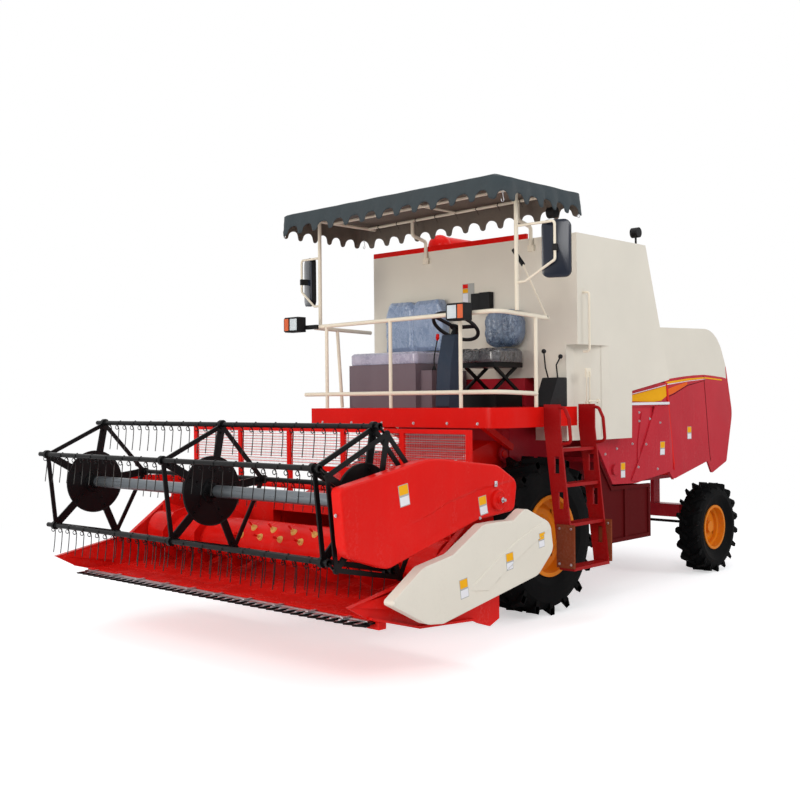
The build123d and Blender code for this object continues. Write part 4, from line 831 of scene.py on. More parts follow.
def tine_row(k):
    """Tine bar k with its crank, its spring tines, their clips and the clips' bolts."""
    wire, coil, drop = sizes().wire / 2, sizes().coil / 2, sizes().drop
    _, y, z = Vector((0, REEL_Y, REEL_Z)) + reel_arm(REEL_RADIUS, REEL_PHASE + math.tau / REEL_BARS * (k - 1))
    pin_y, pin_z = y + 0.044, z - 0.044
    bm = bmesh.new()
    add_rod(bm, spot(BAR_START, y, z), spot(BAR_END, y, z), BAR_RADIUS)
    add_rod(bm, spot(BAR_END - 0.012, y, z), spot(BAR_END, y, z), 0.024)
    add_wires(bm, [[spot(1.592, y, z), spot(1.592, pin_y, pin_z)]], 0.0095)
    add_rod(bm, spot(1.586, pin_y, pin_z), spot(1.618, pin_y, pin_z), 0.008, 12)

    under, first = z - BAR_RADIUS, BAR_START + 0.07
    count = int((BAR_END - BAR_START - 0.12) / TINE_PITCH) + 1
    lines = []
    for t in range(count):
        x = first + TINE_PITCH * t
        if min(abs(x - s) for s in SPIDERS) < 0.026:
            continue
        coil_z = under - coil + 0.003
        sway = 0.004 * noise_at((x, y, z), 9.0)
        line = [spot(x + 0.004 * a / 9, y + (coil - wire) * math.sin(math.tau * a / 8),
                     coil_z + (coil - wire) * math.cos(math.tau * a / 8)) for a in range(9)]
        line += [spot(x + 0.005, y + coil * 0.8, coil_z - coil * 0.6),
                 spot(x + 0.005 + sway, y + coil * 0.45, under - drop * 0.55),
                 spot(x + 0.005 + sway, y - coil * 0.15, under - drop)]
        lines.append(line)
    add_wires(bm, lines, wire, 0)
    for t in range(0, count, 2):
        x = first + TINE_PITCH * (t + 0.5)
        if x < 1.56:
            add_bolt(bm, spot(x, y, z + BAR_RADIUS - 0.002), UP, 0.011)
            clip = [spot(x, y + dy, z + dz) for dy, dz in
                    ((-0.017, -0.012), (-0.0195, 0.004), (0, 0.0195), (0.0195, 0.004), (0.017, -0.012))]
            add_wires(bm, [clip], 0.003, 0)
    row = piece(f"tine_row_{k}", bm, f"tine_bar_{k}", "black")
    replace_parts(row, f"tine_bar_{k}")


@step
class HARVESTER_OT_tines(bpy.types.Operator):
    """Hang the spring tines from the reel's five bars, each with its coil and clip bolt"""

    bl_idname = "harvester.tines"
    bl_label = "Reel tines"

    def execute(self, context):
        for k in range(1, REEL_BARS + 1):
            tine_row(k)
        return {"FINISHED"}


# ---- covers

# The surfaces that plates are laid on, by node or piece, and how deep a laid plate bites into them.
TREES = {}
BITE = 0.0004


def side_surface(names, y, z, side=1):
    """How far out the named nodes reach at a place on the machine's side: (place, outward normal)."""
    best = None
    for name in names:
        if name not in TREES:
            bm = copied_node(name)
            TREES[name] = BVHTree.FromBMesh(bm)
            bm.free()
        hit, normal, _, _ = TREES[name].ray_cast(spot(side * 4, y, z), Vector((-side, 0, 0)))
        if hit and (best is None or side * hit.x > side * best[0].x):
            best = (hit, normal)
    if best is None:
        raise RuntimeError(f"nothing of {names} at y {y}, z {z}")
    return best


def grid_cut(bm, faces, cell):
    """Cuts upright side faces into cells, so that they can follow a curve."""
    chosen = set(faces)
    for axis in (1, 2):
        normal = Vector((0, 0, 0))
        normal[axis] = 1
        places = [v.co[axis] for f in chosen for v in f.verts]
        start, length = min(places), max(places) - min(places)
        count = int(length / cell)
        for k in range(1, count + 1):
            point = Vector((0, 0, 0))
            point[axis] = start + length * k / (count + 1)
            made = bmesh.ops.bisect_plane(bm, geom=with_borders(chosen), plane_co=point, plane_no=normal,
                                          dist=1e-5)
            chosen = set(only(made["geom"], FACE))
    return chosen


def add_laid_plate(bm, outline, names, thick, cell, material=0, side=1):
    """A thin plate cut to an outline of (y, z) corners and pressed onto the machine's side."""
    plate = bmesh.new()
    face = plate.faces.new([plate.verts.new((0, y, z)) for y, z in outline])
    grid_cut(plate, [face], cell)
    for v in plate.verts:
        reach = side_surface(names, v.co.y, v.co.z, side)[0].x
        v.co = (reach - side * BITE, v.co.y + AXLE_Y, v.co.z)
    made = bmesh.ops.extrude_face_region(plate, geom=list(plate.faces), use_keep_orig=True)["geom"]
    for v in only(made, VERT):
        v.co.x += side * (thick + BITE)
    for f in plate.faces:
        f.material_index = material
    bmesh.ops.recalc_face_normals(plate, faces=plate.faces)
    add_mesh(bm, mesh_of("plate", plate))


def laid_piece(name, outline, names, finishes, thick, cell, sides=(1,)):
    """A piece of the chassis laid on one or both sides; later plates can be laid on it in turn."""
    bm = bmesh.new()
    for side in sides:
        add_laid_plate(bm, outline, names, thick, cell, side=side)
    TREES[name] = BVHTree.FromBMesh(bm)
    piece(name, bm, "chassis", finishes, 0)


def strip_outline(line, half):
    """The outline of a strip that follows a line of (y, z) places."""
    return [(y - half, z) for y, z in line] + [(y + half, z) for y, z in reversed(line)]


def tilted(y, z, wide, high, turn, up=0.0):
    """The corners of an upright plate turned by some degrees and moved up along its own height."""
    c, s = math.cos(math.radians(turn)), math.sin(math.radians(turn))
    corners = ((-wide / 2, up - high / 2), (wide / 2, up - high / 2), (wide / 2, up + high / 2),
               (-wide / 2, up + high / 2))
    return [(y + c * a - s * b, z + s * a + c * b) for a, b in corners]


def line_height(line, y):
    """The height of a line of (y, z) places at y."""
    if y <= line[0][0]:
        return line[0][1]
    for (y0, z0), (y1, z1) in zip(line, line[1:]):
        if y <= y1:
            return z0 + (z1 - z0) * (y - y0) / (y1 - y0)
    return line[-1][1]


def edge_distance(place, edges):
    """How far a place is from the nearest of some straight edges."""
    best = math.inf
    for start, end in edges:
        near, share = intersect_point_line(place, start, end)
        if not 0 <= share <= 1:
            near = start if share < 0 else end
        best = min(best, (place - near).length)
    return best


def pressed_cover(name, node_name, body, finishes, press, lines):
    """A cover's outer face dished and creased by press(y, z, from_edge), which says how far in it is pushed.

    Each of the lines of (y, z) places is cut into the face first, so that a crease is crisp along it.
    """
    bm = copied_node(node_name)
    outer = max(v.co.x for v in bm.verts)

    def outer_faces():
        return [f for f in bm.faces if all(abs(v.co.x - outer) < 2e-4 for v in f.verts)]

    flat = outer_faces()
    rim = [(e.verts[0].co.copy(), e.verts[1].co.copy()) for e in {e for f in flat for e in f.edges}
           if sum(f in flat for f in e.link_faces) == 1]
    bmesh.ops.dissolve_faces(bm, faces=flat, use_verts=False)
    cells = grid_cut(bm, outer_faces(), 0.02)
    for line in lines:
        for start, end in zip(line, line[1:]):
            a, b = spot(0, *start), spot(0, *end)
            near = {f for f in cells if a.y - 0.03 < f.calc_center_median().y < b.y + 0.03}
            made = bmesh.ops.bisect_plane(bm, geom=with_borders(near), plane_co=a,
                                          plane_no=(0, a.z - b.z, b.y - a.y), dist=1e-5)
            cells = (cells - near) | set(only(made["geom"], FACE))
    for v in {v for f in cells if f.is_valid for v in f.verts}:
        v.co.x -= press(v.co.y - AXLE_Y, v.co.z, edge_distance(v.co, rim))
    bmesh.ops.recalc_face_normals(bm, faces=bm.faces)
    TREES[node_name] = BVHTree.FromBMesh(bm)
    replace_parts(piece(name, bm, body, finishes, 10), node_name)


def reel_cover():
    """The red cover: one crease across it that fades in towards the rear."""
    crease = [(-2.66, 0.972), (-2.319, 1.050), (-2.142, 1.113), (-1.831, 1.177), (-1.440, 1.215)]
    foot = [(y, z - 0.008 - 0.012 * smooth_step(y, -2.7, -1.85)) for y, z in crease]

    def press(y, z, from_edge):
        below, deep = line_height(crease, y) - z, line_height(foot, y) - z
        share = smooth_step(y, -2.68, -2.2)
        step_in = 0.0095 * min(max(below, 0) / (below - deep), 1.0) * (1 - smooth_step(below, 0.06, 0.36))
        return step_in * share * smooth_step(from_edge, 0.0, 0.03)

    pressed_cover("reel_cover_skin", "reel_cover", "reel_arms", "red", press, [crease, foot])


def drive_cover():
    """The cream cover: a raised channel between two creases, level with its rim."""
    start, slope, depth = -2.035, 0.007, 0.0085
    upper = [(start, 0.590), (-1.763, 0.737), (-1.546, 0.835), (-1.16, 0.96)]
    lower = [(start, 0.560), (-1.870, 0.540), (-1.713, 0.627), (-1.548, 0.713), (-1.16, 0.88)]
    feet = [[(y, z - slope) for y, z in upper], [(y, z + slope) for y, z in lower]]

    def press(y, z, from_edge):
        if from_edge <= 0.004:
            return depth
        inside = min((line_height(upper, y) - z) / slope, (z - line_height(lower, y)) / slope,
                     (y - start) / 0.015)
        return depth - 0.0080 * min(max(inside, 0.0), 1.0) * smooth_step(from_edge, 0.012, 0.04)

    lines = [upper, feet[0], lower, feet[1]]
    pressed_cover("drive_cover_skin", "drive_cover", "header", "cream", press, lines)


def cover_fixings():
    """Bolts along the red cover and its latch."""
    bm = bmesh.new()
    for y, z in ((-2.60, 1.352), (-2.02, 1.350), (-1.60, 1.280)):
        add_bolt(bm, spot(1.712, y, z), (0, -0.1, 1), 0.014)
    add_bolt(bm, spot(1.712, -3.047, 1.10), (0, -1, 0), 0.014)
    add_bolt(bm, spot(1.757, -1.84, 0.985), LEFTWARD, 0.014)
    latch = spot(1.757, -1.675, 1.189)
    add_box(bm, latch - Vector((0.001, 0.014, 0.018)), latch + Vector((0.004, 0.014, 0.018)), 0.0012)
    add_rod(bm, latch, latch + LEFTWARD * 0.012, 0.006, 12)
    piece("reel_cover_fixings", bm, "reel_arms", "steel")


def reel_pivot():
    """The turned boss and the threaded end of the reel arm's pivot."""
    bm = bmesh.new()
    pivot = spot(1.760, -1.658, 1.087)
    verts = bmesh.ops.create_circle(bm, segments=40, radius=0.066, matrix=Matrix.Translation(
        pivot - LEFTWARD * 0.012) @ facing(LEFTWARD))["verts"]
    edges = list({e for v in verts for e in v.link_edges})
    for radius, reach in ((0.066, 0.014), (0.060, 0.020), (0.050, 0.020), (0.044, 0.012), (0.024, 0.012),
                          (0.024, 0.026), (0.020, 0.028), (0.0, 0.028)):
        made = bmesh.ops.extrude_edge_only(bm, edges=edges)["geom"]
        edges = only(made, EDGE)
        for v in only(made, VERT):
            arm = v.co - pivot
            arm.x = 0
            v.co = pivot + LEFTWARD * reach + arm.normalized() * radius
    bmesh.ops.remove_doubles(bm, verts=bm.verts, dist=1e-5)
    bmesh.ops.recalc_face_normals(bm, faces=bm.faces)
    piece("reel_pivot_boss", bm, "header", "red")

    bm = bmesh.new()
    tip = spot(1.787, -1.658, 1.087)
    add_rod(bm, tip, tip + LEFTWARD * 0.016, 0.019, 6)
    for k in range(10):
        start = tip + LEFTWARD * (0.016 + 0.002 * k)
        add_rod(bm, start, start + LEFTWARD * 0.002, 0.0092 if k % 2 else 0.0105)
    piece("reel_pivot_nut", bm, "header", "steel")


@step
class HARVESTER_OT_covers(bpy.types.Operator):
    """Press the creases into the reel drive's red cover and the knife drive's cream cover"""

    bl_idname = "harvester.covers"
    bl_label = "Drive covers"

    def execute(self, context):
        reel_cover()
        drive_cover()
        cover_fixings()
        reel_pivot()
        return {"FINISHED"}


# ---- plates and stripes


@step
class HARVESTER_OT_plates(bpy.types.Operator):
    """Fix the blank two-tone plates, the tapering side stripe and the white strip"""

    bl_idname = "harvester.plates"
    bl_label = "Plates and stripes"

    def execute(self, context):
        panel = ("side_panels", "body")
        outline = [(1.610, 1.650), (1.586, 1.569), (1.410, 1.279), (1.215, 1.000), (1.330, 0.985),
                   (1.800, 1.030), (1.915, 1.050), (1.950, 1.100), (1.935, 1.300), (1.872, 1.560),
                   (1.850, 1.650)]
        laid_piece("side_panel_face", outline, panel, "crimson", 0.012, 2.0)
        # name, body, nodes under it, middle y and z, width, height, turn
        places = (("plate_reel_front", "reel_arms", ("reel_cover",), -2.540, 1.178, 0.085, 0.128, 9),
                  ("plate_reel_rear", "reel_arms", ("reel_cover",), -1.795, 1.062, 0.078, 0.118, 8),
                  ("plate_drive_front", "header", ("drive_cover",), -2.105, 0.588, 0.078, 0.118, 8),
                  ("plate_drive_rear", "header", ("drive_cover",), -1.655, 0.700, 0.078, 0.112, 6),
                  ("plate_drive_end", "header", ("drive_cover",), -1.300, 0.800, 0.066, 0.100, 6),
                  ("plate_hood", "chassis", ("hood_sides",), 2.331, 1.388, 0.078, 0.120, 0),
                  ("plate_panel", "chassis", ("side_panel_face", *panel), 1.747, 1.264, 0.085, 0.124, 0),
                  ("plate_pulley", "chassis", panel, 1.086, 1.098, 0.072, 0.132, 0))
        for name, body, nodes, y, z, wide, high, turn in places:
            bm = bmesh.new()
            add_laid_plate(bm, tilted(y, z, wide, high, turn), nodes, 0.0010, 0.012)
            # the yellow half above and the white half below: middle, height, material
            for up, tall, material in ((0.25, 0.44, 1), (-0.26, 0.40, 2)):
                half = tilted(y, z, wide * 0.90, high * tall, turn, high * up)
                add_laid_plate(bm, half, nodes, 0.0015, 0.012, material)
            piece(name, bm, body, "plate_grey plate_yellow plate_white", 0)

        skins = ("hood_sides", "hood_top", "side_panels", "body", "grain_tank")
        # two edges of each band: places along y with the lower and the upper height
        bands = (
            ("stripe_yellow", "plate_yellow", ((1.17, 1.700, 1.742), (1.42, 1.694, 1.775),
                                               (1.62, 1.690, 1.803), (1.76, 1.700, 1.823),
                                               (1.86, 1.742, 1.836))),
            ("stripe_orange", "stripe_orange", ((1.885, 1.736, 1.800), (2.04, 1.772, 1.832),
                                                (2.30, 1.850, 1.876))),
            ("stripe_cream", "plate_white", ((1.17, 1.748, 1.754), (1.62, 1.808, 1.815), (1.86, 1.842, 1.849),
                                             (2.30, 1.880, 1.886), (2.66, 1.904, 1.908))),
            ("stripe_gold", "plate_yellow", ((1.885, 1.852, 1.872), (2.30, 1.890, 1.908),
                                             (2.66, 1.911, 1.924), (3.02, 1.893, 1.905))),
            ("stripe_dark", "maroon", ((1.885, 1.722, 1.730), (2.04, 1.757, 1.766), (2.30, 1.838, 1.846),
                                       (2.66, 1.890, 1.894))))
        for name, finishes, line in bands:
            outline = [(y, low) for y, low, _ in line] + [(y, high) for y, _, high in reversed(line)]
            laid_piece(name, outline, skins, finishes, 0.0009, 0.05)
        outline = [(1.868, 1.896), (2.208, 1.926), (2.420, 1.940), (2.636, 1.948), (2.850, 1.938),
                   (3.048, 1.924), (3.112, 1.914), (3.092, 2.042), (1.872, 1.926)]
        hood, both = ("hood_sides", "hood_top"), (1, -1)
        laid_piece("hood_upper_band", outline, hood, "cream", 0.0009, 0.05, both)
        bm = bmesh.new()
        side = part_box("side_panels")[1].x - MID_X
        add_box(bm, spot(side - 0.004, 1.09, 1.664), spot(side + 0.006, 1.87, 1.688), 0.002)
        piece("side_strip", bm, "chassis", "plate_white")
        return {"FINISHED"}


# ---- header


def reel_fittings():
    """The reel's bright tube, and hubs and bolts on both faces of each spider."""
    bm = bmesh.new()
    for x0, x1 in ((-1.356, 0.04), (0.16, 1.48)):
        add_rod(bm, spot(x0, REEL_Y, REEL_Z), spot(x1, REEL_Y, REEL_Z), 0.0412, 32)
    piece("reel_tube_sleeve", bm, "reel", "tube_steel")

    bm = bmesh.new()
    for x in SPIDERS:
        for side in (-1, 1):
            middle, out = spot(x + side * 0.004, REEL_Y, REEL_Z), LEFTWARD * side
            add_rod(bm, middle, middle + out * 0.014, 0.085, 32, 0.080)
            add_rod(bm, middle + out * 0.014, middle + out * 0.045, 0.052, 32, 0.047)
            for k in range(REEL_BARS):
                turn = REEL_PHASE + math.tau / REEL_BARS * k
                between = turn + math.pi / REEL_BARS
                add_bolt(bm, middle + reel_arm(0.066, between) + out * 0.014, out, 0.015)
                for radius in (0.14, 0.20, 0.40):
                    add_bolt(bm, middle + reel_arm(radius, turn) + out * 0.003, out, 0.016)
            add_wires(bm, [ring(middle, 0.233, 48)], 0.004)
    piece("reel_hubs", bm, "reel", "black")


def auger_fingers():
    """The finger section in the auger's middle: pairs of opposite plastic guides with steel fingers."""
    low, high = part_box("auger")
    axis = (low + high) / 2
    guides, fingers = bmesh.new(), bmesh.new()
    rows = 8
    for k in range(rows):
        x = spot(-0.26 + 0.76 * k / (rows - 1), 0, 0).x
        for turn in (20, 200):
            turn = math.radians(turn + 25 * (k % 2))
            out = Vector((0, -math.cos(turn), math.sin(turn)))
            place = Vector((x, axis.y, axis.z)) + out * 0.149
            add_rod(guides, place, place + out * 0.014, 0.026, 16, 0.020)
            add_rod(guides, place + out * 0.012, place + out * 0.034, 0.013, 12, 0.010)
            add_rod(fingers, place + out * 0.02, place + out * 0.066, 0.0062, 8)
    piece("auger_guides", guides, "auger", "guide")
    piece("auger_fingers", fingers, "auger", "steel")


def guard_parts():
    """A pointed casting, its wear plate and its bolt at each guard, and a knife clip at every fourth."""
    low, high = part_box("knife_guards")
    knife_y, pitch, reach = low.y + 0.100, 0.0762, 0.098
    count = int((high.x - low.x - 0.020) / pitch)
    castings, clips = bmesh.new(), bmesh.new()
    for k in range(count):
        x = (low.x + high.x) / 2 + pitch * (k - (count - 1) / 2)
        add_rod(castings, (x, knife_y, 0.4285), (x, knife_y - reach, 0.4385), 0.0155, 12, 0.0045)
        add_box(castings, (x - 0.017, knife_y - 0.012, 0.415), (x + 0.017, knife_y + 0.030, 0.433), 0.003)
        add_bolt(clips, (x, knife_y + 0.012, 0.4148), -UP, 0.013)
        add_box(clips, (x - 0.011, knife_y - 0.078, 0.4441), (x + 0.011, knife_y - 0.004, 0.4450))
        if k % 4 == 1:
            add_box(clips, (x - 0.014, knife_y - 0.040, 0.4525), (x + 0.014, knife_y + 0.050, 0.4570), 0.001)
    piece("guard_castings", castings, "header", "black")
    piece("guard_plates", clips, "header", "steel")


def screen_mesh():
    """Crossed wires over the openings of the header's rear screen."""
    bm = bmesh.new()
    low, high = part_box("header_screen")
    y, mesh_pitch, lines = low.y + 0.013, 0.0155, []
    x = low.x + 0.03
    while x < high.x - 0.03:
        lines.append([(x, y, low.z + 0.20), (x, y, high.z - 0.03)])
        x += mesh_pitch
    z = low.z + 0.205
    while z < high.z - 0.03:
        lines.append([(low.x + 0.02, y, z), (high.x - 0.02, y, z)])
        z += mesh_pitch
    add_wires(bm, lines, 0.0011, 0)
    piece("screen_mesh", bm, "header", "galvanised", 0)


@step
class HARVESTER_OT_header_details(bpy.types.Operator):
    """Add the reel's bright tube, disc hubs, the auger's finger guides and the screen's wire mesh"""

    bl_idname = "harvester.header_details"
    bl_label = "Header details"

    def execute(self, context):
        reel_fittings()
        auger_fingers()
        guard_parts()
        screen_mesh()
        return {"FINISHED"}


# ---- platform


def levers():
    """Two knobbed levers by the bench and the unloader's long lever."""
    black, knobs, cream = bmesh.new(), bmesh.new(), bmesh.new()
    for x, y, lean in ((-0.085, -0.14, 0.02), (-0.040, -0.10, 0.045)):
        stem = rounded_line([spot(x, y, 1.975), spot(x, y, 2.10), spot(x + lean, y + 0.02, 2.245)], 0.03)
        add_wires(black, [stem], 0.0055, 2)
        add_rod(black, spot(x, y, 1.978), spot(x, y, 2.02), 0.022, 16, 0.008)
        top = spot(x + lean, y + 0.02, 2.240)
        neck = top + Vector((0.004, 0, 0.020))
        add_rod(knobs, top, neck, 0.010, 16, 0.017)
        add_rod(knobs, neck, top + Vector((0.006, 0, 0.055)), 0.017, 16, 0.012)
    add_wires(cream, [[spot(1.100, -0.150, 2.360), spot(0.835, -0.100, 2.814)]], 0.0075, 2)
    add_rod(black, spot(0.838, -0.100, 2.808), spot(0.742, -0.100, 2.938), 0.0175, 20, 0.0165)
    add_rod(black, spot(0.742, -0.100, 2.938), spot(0.738, -0.100, 2.944), 0.0165, 20, 0.010)
    add_bolt(black, spot(1.104, -0.160, 2.366), (0.5, -0.8, 0.3), 0.020)
    piece("platform_levers", black, "chassis", "black_plastic")
    piece("lever_knobs", knobs, "chassis", "red")
    piece("unloader_lever", cream, "chassis", "cream_tube")


def label_holder():
    """A blank holder on the tank's front wall, with three blank fields."""
    bm = bmesh.new()
    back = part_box("grain_tank")[0].y - AXLE_Y
    add_box(bm, spot(-0.050, back - 0.004, 2.560), spot(0.080, back, 2.745), 0.001)
    for material, (z0, z1) in enumerate(((2.665, 2.700), (2.704, 2.740), (2.566, 2.660)), 1):
        add_box(bm, spot(-0.046, back - 0.0055, z0), spot(0.012, back - 0.003, z1), 0.0, material)
    piece("blank_label_holder", bm, "chassis", "plate_grey plate_yellow red plate_white", 0)


def lamp_bezels():
    """A frame round the clear and the orange field of each lamp, and ribs across the orange one."""
    bezel, ribs = bmesh.new(), bmesh.new()
    for x, y, z, hand in ((0.775, -0.850, 2.395, 1), (-1.075, -0.860, 2.395, -1)):
        front = y - 0.0375
        for near, far in ((-0.083, 0.018), (0.022, 0.084)):
            x0, x1 = sorted((x + hand * near, x + hand * far))
            corners = [spot(x0, front, z - 0.055), spot(x1, front, z - 0.055), spot(x1, front, z + 0.055),
                       spot(x0, front, z + 0.055), spot(x0, front, z - 0.055)]
            add_wires(bezel, [rounded_line(corners, 0.012)], 0.0052)
        x0, x1 = sorted((x + hand * 0.024, x + hand * 0.078))
        for k in range(9):
            height = z - 0.045 + 0.01125 * k
            add_rod(ribs, spot(x0, front, height), spot(x1, front, height), 0.0035, 8)
        add_rod(bezel, spot(x, y + 0.060, z), spot(x, y + 0.080, z), 0.040, 24, 0.028)
    piece("lamp_bezels", bezel, "chassis", "black_plastic")
    piece("indicator_ribs", ribs, "chassis", "orange_lens")


def mirror_shells():
    """A dished, glossy skin over the back of each mirror."""
    bm = bmesh.new()
    turn = math.radians(25)
    for hand, x, y, reach, z in ((1, 1.112, -0.560, 0.350, 2.842), (-1, -1.016, -0.600, 0.240, 2.800)):
        normal = Vector((hand * math.sin(turn), -math.cos(turn), 0))
        middle = spot(x + hand * reach, y, z) - normal * (0.062 - 0.0022)
        shell = bmesh.new()
        verts = bmesh.ops.create_cube(shell, size=1.0)["verts"]
        bmesh.ops.scale(shell, vec=(0.217, 0.427, 0.004), verts=verts)
        corners = [e for e in shell.edges if abs(e.verts[0].co.z - e.verts[1].co.z) > 0.002]
        bevel_edges(shell, corners, 0.050, 6)
        face = max(shell.faces, key=lambda f: f.calc_center_median().z)
        bmesh.ops.inset_region(shell, faces=[face], thickness=0.014, depth=0.005, use_even_offset=True)
        bmesh.ops.transform(shell, matrix=Matrix.Translation(middle) @ facing(normal), verts=shell.verts)
        add_mesh(bm, mesh_of("shell", shell))
    piece("mirror_shells", bm, "chassis", "navy")


@step
class HARVESTER_OT_controls(bpy.types.Operator):
    """Add levers, knobs, the blank label holder, lamp bezels and mirror shells"""

    bl_idname = "harvester.controls"
    bl_label = "Controls and lamps"

    def execute(self, context):
        levers()
        label_holder()
        lamp_bezels()
        mirror_shells()
        return {"FINISHED"}


# ---- body


def panel_bolts():
    """Bolt heads on the side panel and along the platform's front."""
    bm = bmesh.new()
    nodes = ("side_panel_face", "side_panels", "body", "hood_sides")
    for y, z in ((1.366, 1.598), (1.365, 1.521), (1.551, 1.538), (1.461, 1.311), (1.323, 1.114),
                 (1.245, 1.323), (0.986, 1.290), (1.70, 1.50), (1.66, 1.08), (0.80, 1.25)):
        add_bolt(bm, *side_surface(nodes, y, z), 0.016)
    for x in (-0.80, -0.45, -0.10, 0.25, 0.60, 0.90):
        add_bolt(bm, spot(x, -0.784, 1.545), (0, -1, 0), 0.016)
    piece("panel_bolts", bm, "chassis", "steel")


def body_seams():
    """The hood's front lip and rear seam, and the seam between the tank and the hood."""
    lip = strip_outline(((1.857, 1.885), (1.905, 1.55), (1.960, 1.20), (2.020, 0.960)), 0.012)
    laid_piece("hood_front_lip", lip, ("hood_sides", "side_panels", "body"), "red", 0.008, 0.05)
    seam = strip_outline(((2.636, 1.940), (2.690, 1.55), (2.730, 1.25), (2.759, 1.100)), 0.004)
    laid_piece("hood_rear_seam", seam, ("hood_sides",), "maroon", 0.0016, 0.05)
    seam = [(1.738, 2.230), (1.796, 1.915), (1.810, 1.915), (1.752, 2.230)]
    laid_piece("tank_seam", seam, ("hood_top", "grain_tank"), "cream_tube", 0.004, 0.04)


def tank_latch():
    """Two upright rods and a handle on the tank's left side, with their brackets."""
    bm = bmesh.new()
    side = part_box("grain_tank")[1].x - MID_X
    add_wires(bm, [[spot(side + 0.008, 0.330, 1.965), spot(side + 0.008, 0.330, 1.660)],
                   [spot(side + 0.008, 0.376, 1.935), spot(side + 0.008, 0.376, 1.640)]], 0.0055, 2)
    add_wires(bm, [[spot(side + 0.018, 0.330, 1.705), spot(side + 0.018, 0.500, 1.705)]], 0.007, 2)
    for y, z in ((0.330, 1.950), (0.376, 1.930), (0.330, 1.690), (0.376, 1.700), (0.50, 1.705)):
        add_box(bm, spot(side - 0.001, y - 0.012, z - 0.018), spot(side + 0.016, y + 0.012, z + 0.018), 0.003)
    add_box(bm, spot(side - 0.001, 0.315, 1.900), spot(side + 0.008, 0.395, 1.975), 0.002)
    piece("tank_latch", bm, "chassis", "cream_tube")


def step_plates():
    """The brown side plates of the ladder's lowest step, and their bolts."""
    plates, bolts = bmesh.new(), bmesh.new()
    for y0, y1 in ((-0.288, -0.268), (0.232, 0.252)):
        add_box(plates, spot(1.262, y0, 0.440), spot(1.422, y1, 0.770), 0.003)
        for x in (1.29, 1.395):
            for z in (0.47, 0.74):
                add_bolt(bolts, spot(x, y0, z), (0, -1, 0), 0.014)
    piece("step_side_plates", plates, "chassis", "brown")
    piece("step_bolts", bolts, "chassis", "steel")


def wheel_nuts():
    """A ring of nuts on each rim."""
    # end, radius of the ring, nuts, width of a nut, finish, slot
    for end, radius, count, width, finishes, slot in (("front", 0.130, 8, 0.030, "steel", "steel"),
                                                      ("rear", 0.072, 6, 0.024, "orange", "rim")):
        for hand, side in (("left", 1), ("right", -1)):
            rim = f"{end}_rim_{hand}"
            low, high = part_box(rim)
            middle = (low + high) / 2
            bm = bmesh.new()
            for k in range(count):
                turn = math.tau * k / count + 0.2
                hit, _ = side_surface((rim,), middle.y - AXLE_Y + radius * math.cos(turn),
                                      middle.z + radius * math.sin(turn), side)
                add_bolt(bm, hit, (side, 0, 0), width)
            piece(f"{end}_wheel_nuts_{hand}", bm, f"{end}_wheel_{hand}", finishes)


@step
class HARVESTER_OT_body_details(bpy.types.Operator):
    """Add bolts, seams, the tank's latch, the access step's side plates and the wheel nuts"""

    bl_idname = "harvester.body_details"
    bl_label = "Body details"

    def execute(self, context):
        panel_bolts()
        body_seams()
        tank_latch()
        step_plates()
        wheel_nuts()
        return {"FINISHED"}


# ---- tyre lugs


def tyre_lugs(end, side, high):
    """Tapered lugs over one tyre's slanting bars, which stand high out of the tread."""
    low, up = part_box(f"{end}_tyre_{side}")
    centre, radius, width = (low + up) / 2, (up.z - low.z) / 2, up.x - low.x
    count, bar, slope, reach = 18, 0.1 * width + 0.004, 0.26 * width, width / 2 - 0.015 * width
    bm = bmesh.new()
    for hand, first in ((1, 0.5), (-1, 0.0)):
        for k in range(count):
            lug = bmesh.new()
            verts = bmesh.ops.create_cube(lug, size=1.0)["verts"]
            size = Vector((reach + 0.004, 1.95 * bar, high * 1.9))
            bmesh.ops.scale(lug, vec=size, verts=verts)
            bmesh.ops.scale(lug, vec=(1, 0.66, 1), verts=[v for v in verts if v.co.z > 0])
            bevel_edges(lug, [e for e in lug.edges if e.calc_length() < high * 2.2 or
                              all(v.co.z > 0 for v in e.verts)], 0.005)
            lean = Matrix.Identity(4)
            lean[1][0] = hand * (slope + bar) / (reach + 0.008)
            turn = Matrix.Rotation(math.tau * (k + first) / count, 4, "X")
            out = Matrix.Translation((hand * (reach - 0.004) / 2, slope / 2, radius - size.z / 2))
            bmesh.ops.transform(lug, matrix=Matrix.Translation(centre) @ turn @ out @ lean, verts=lug.verts)
            for v in lug.verts:
                arm = v.co.yz - centre.yz
                arm *= min(1.0, (radius - 0.0015) / arm.length)
                v.co.yz = centre.yz + arm
            add_mesh(bm, mesh_of("lug", lug))
    piece(f"{end}_tyre_lugs_{side}", bm, f"{end}_wheel_{side}", "tyre")


@step
class HARVESTER_OT_tyre_lugs(bpy.types.Operator):
    """Bulk the tyres' bars out to wide, tapered lugs"""

    bl_idname = "harvester.tyre_lugs"
    bl_label = "Tyre lugs"

    def execute(self, context):
        for end, high in (("front", 0.036), ("rear", 0.028)):
            for side in ("left", "right"):
                tyre_lugs(end, side, high)
        return {"FINISHED"}


# ---- stage


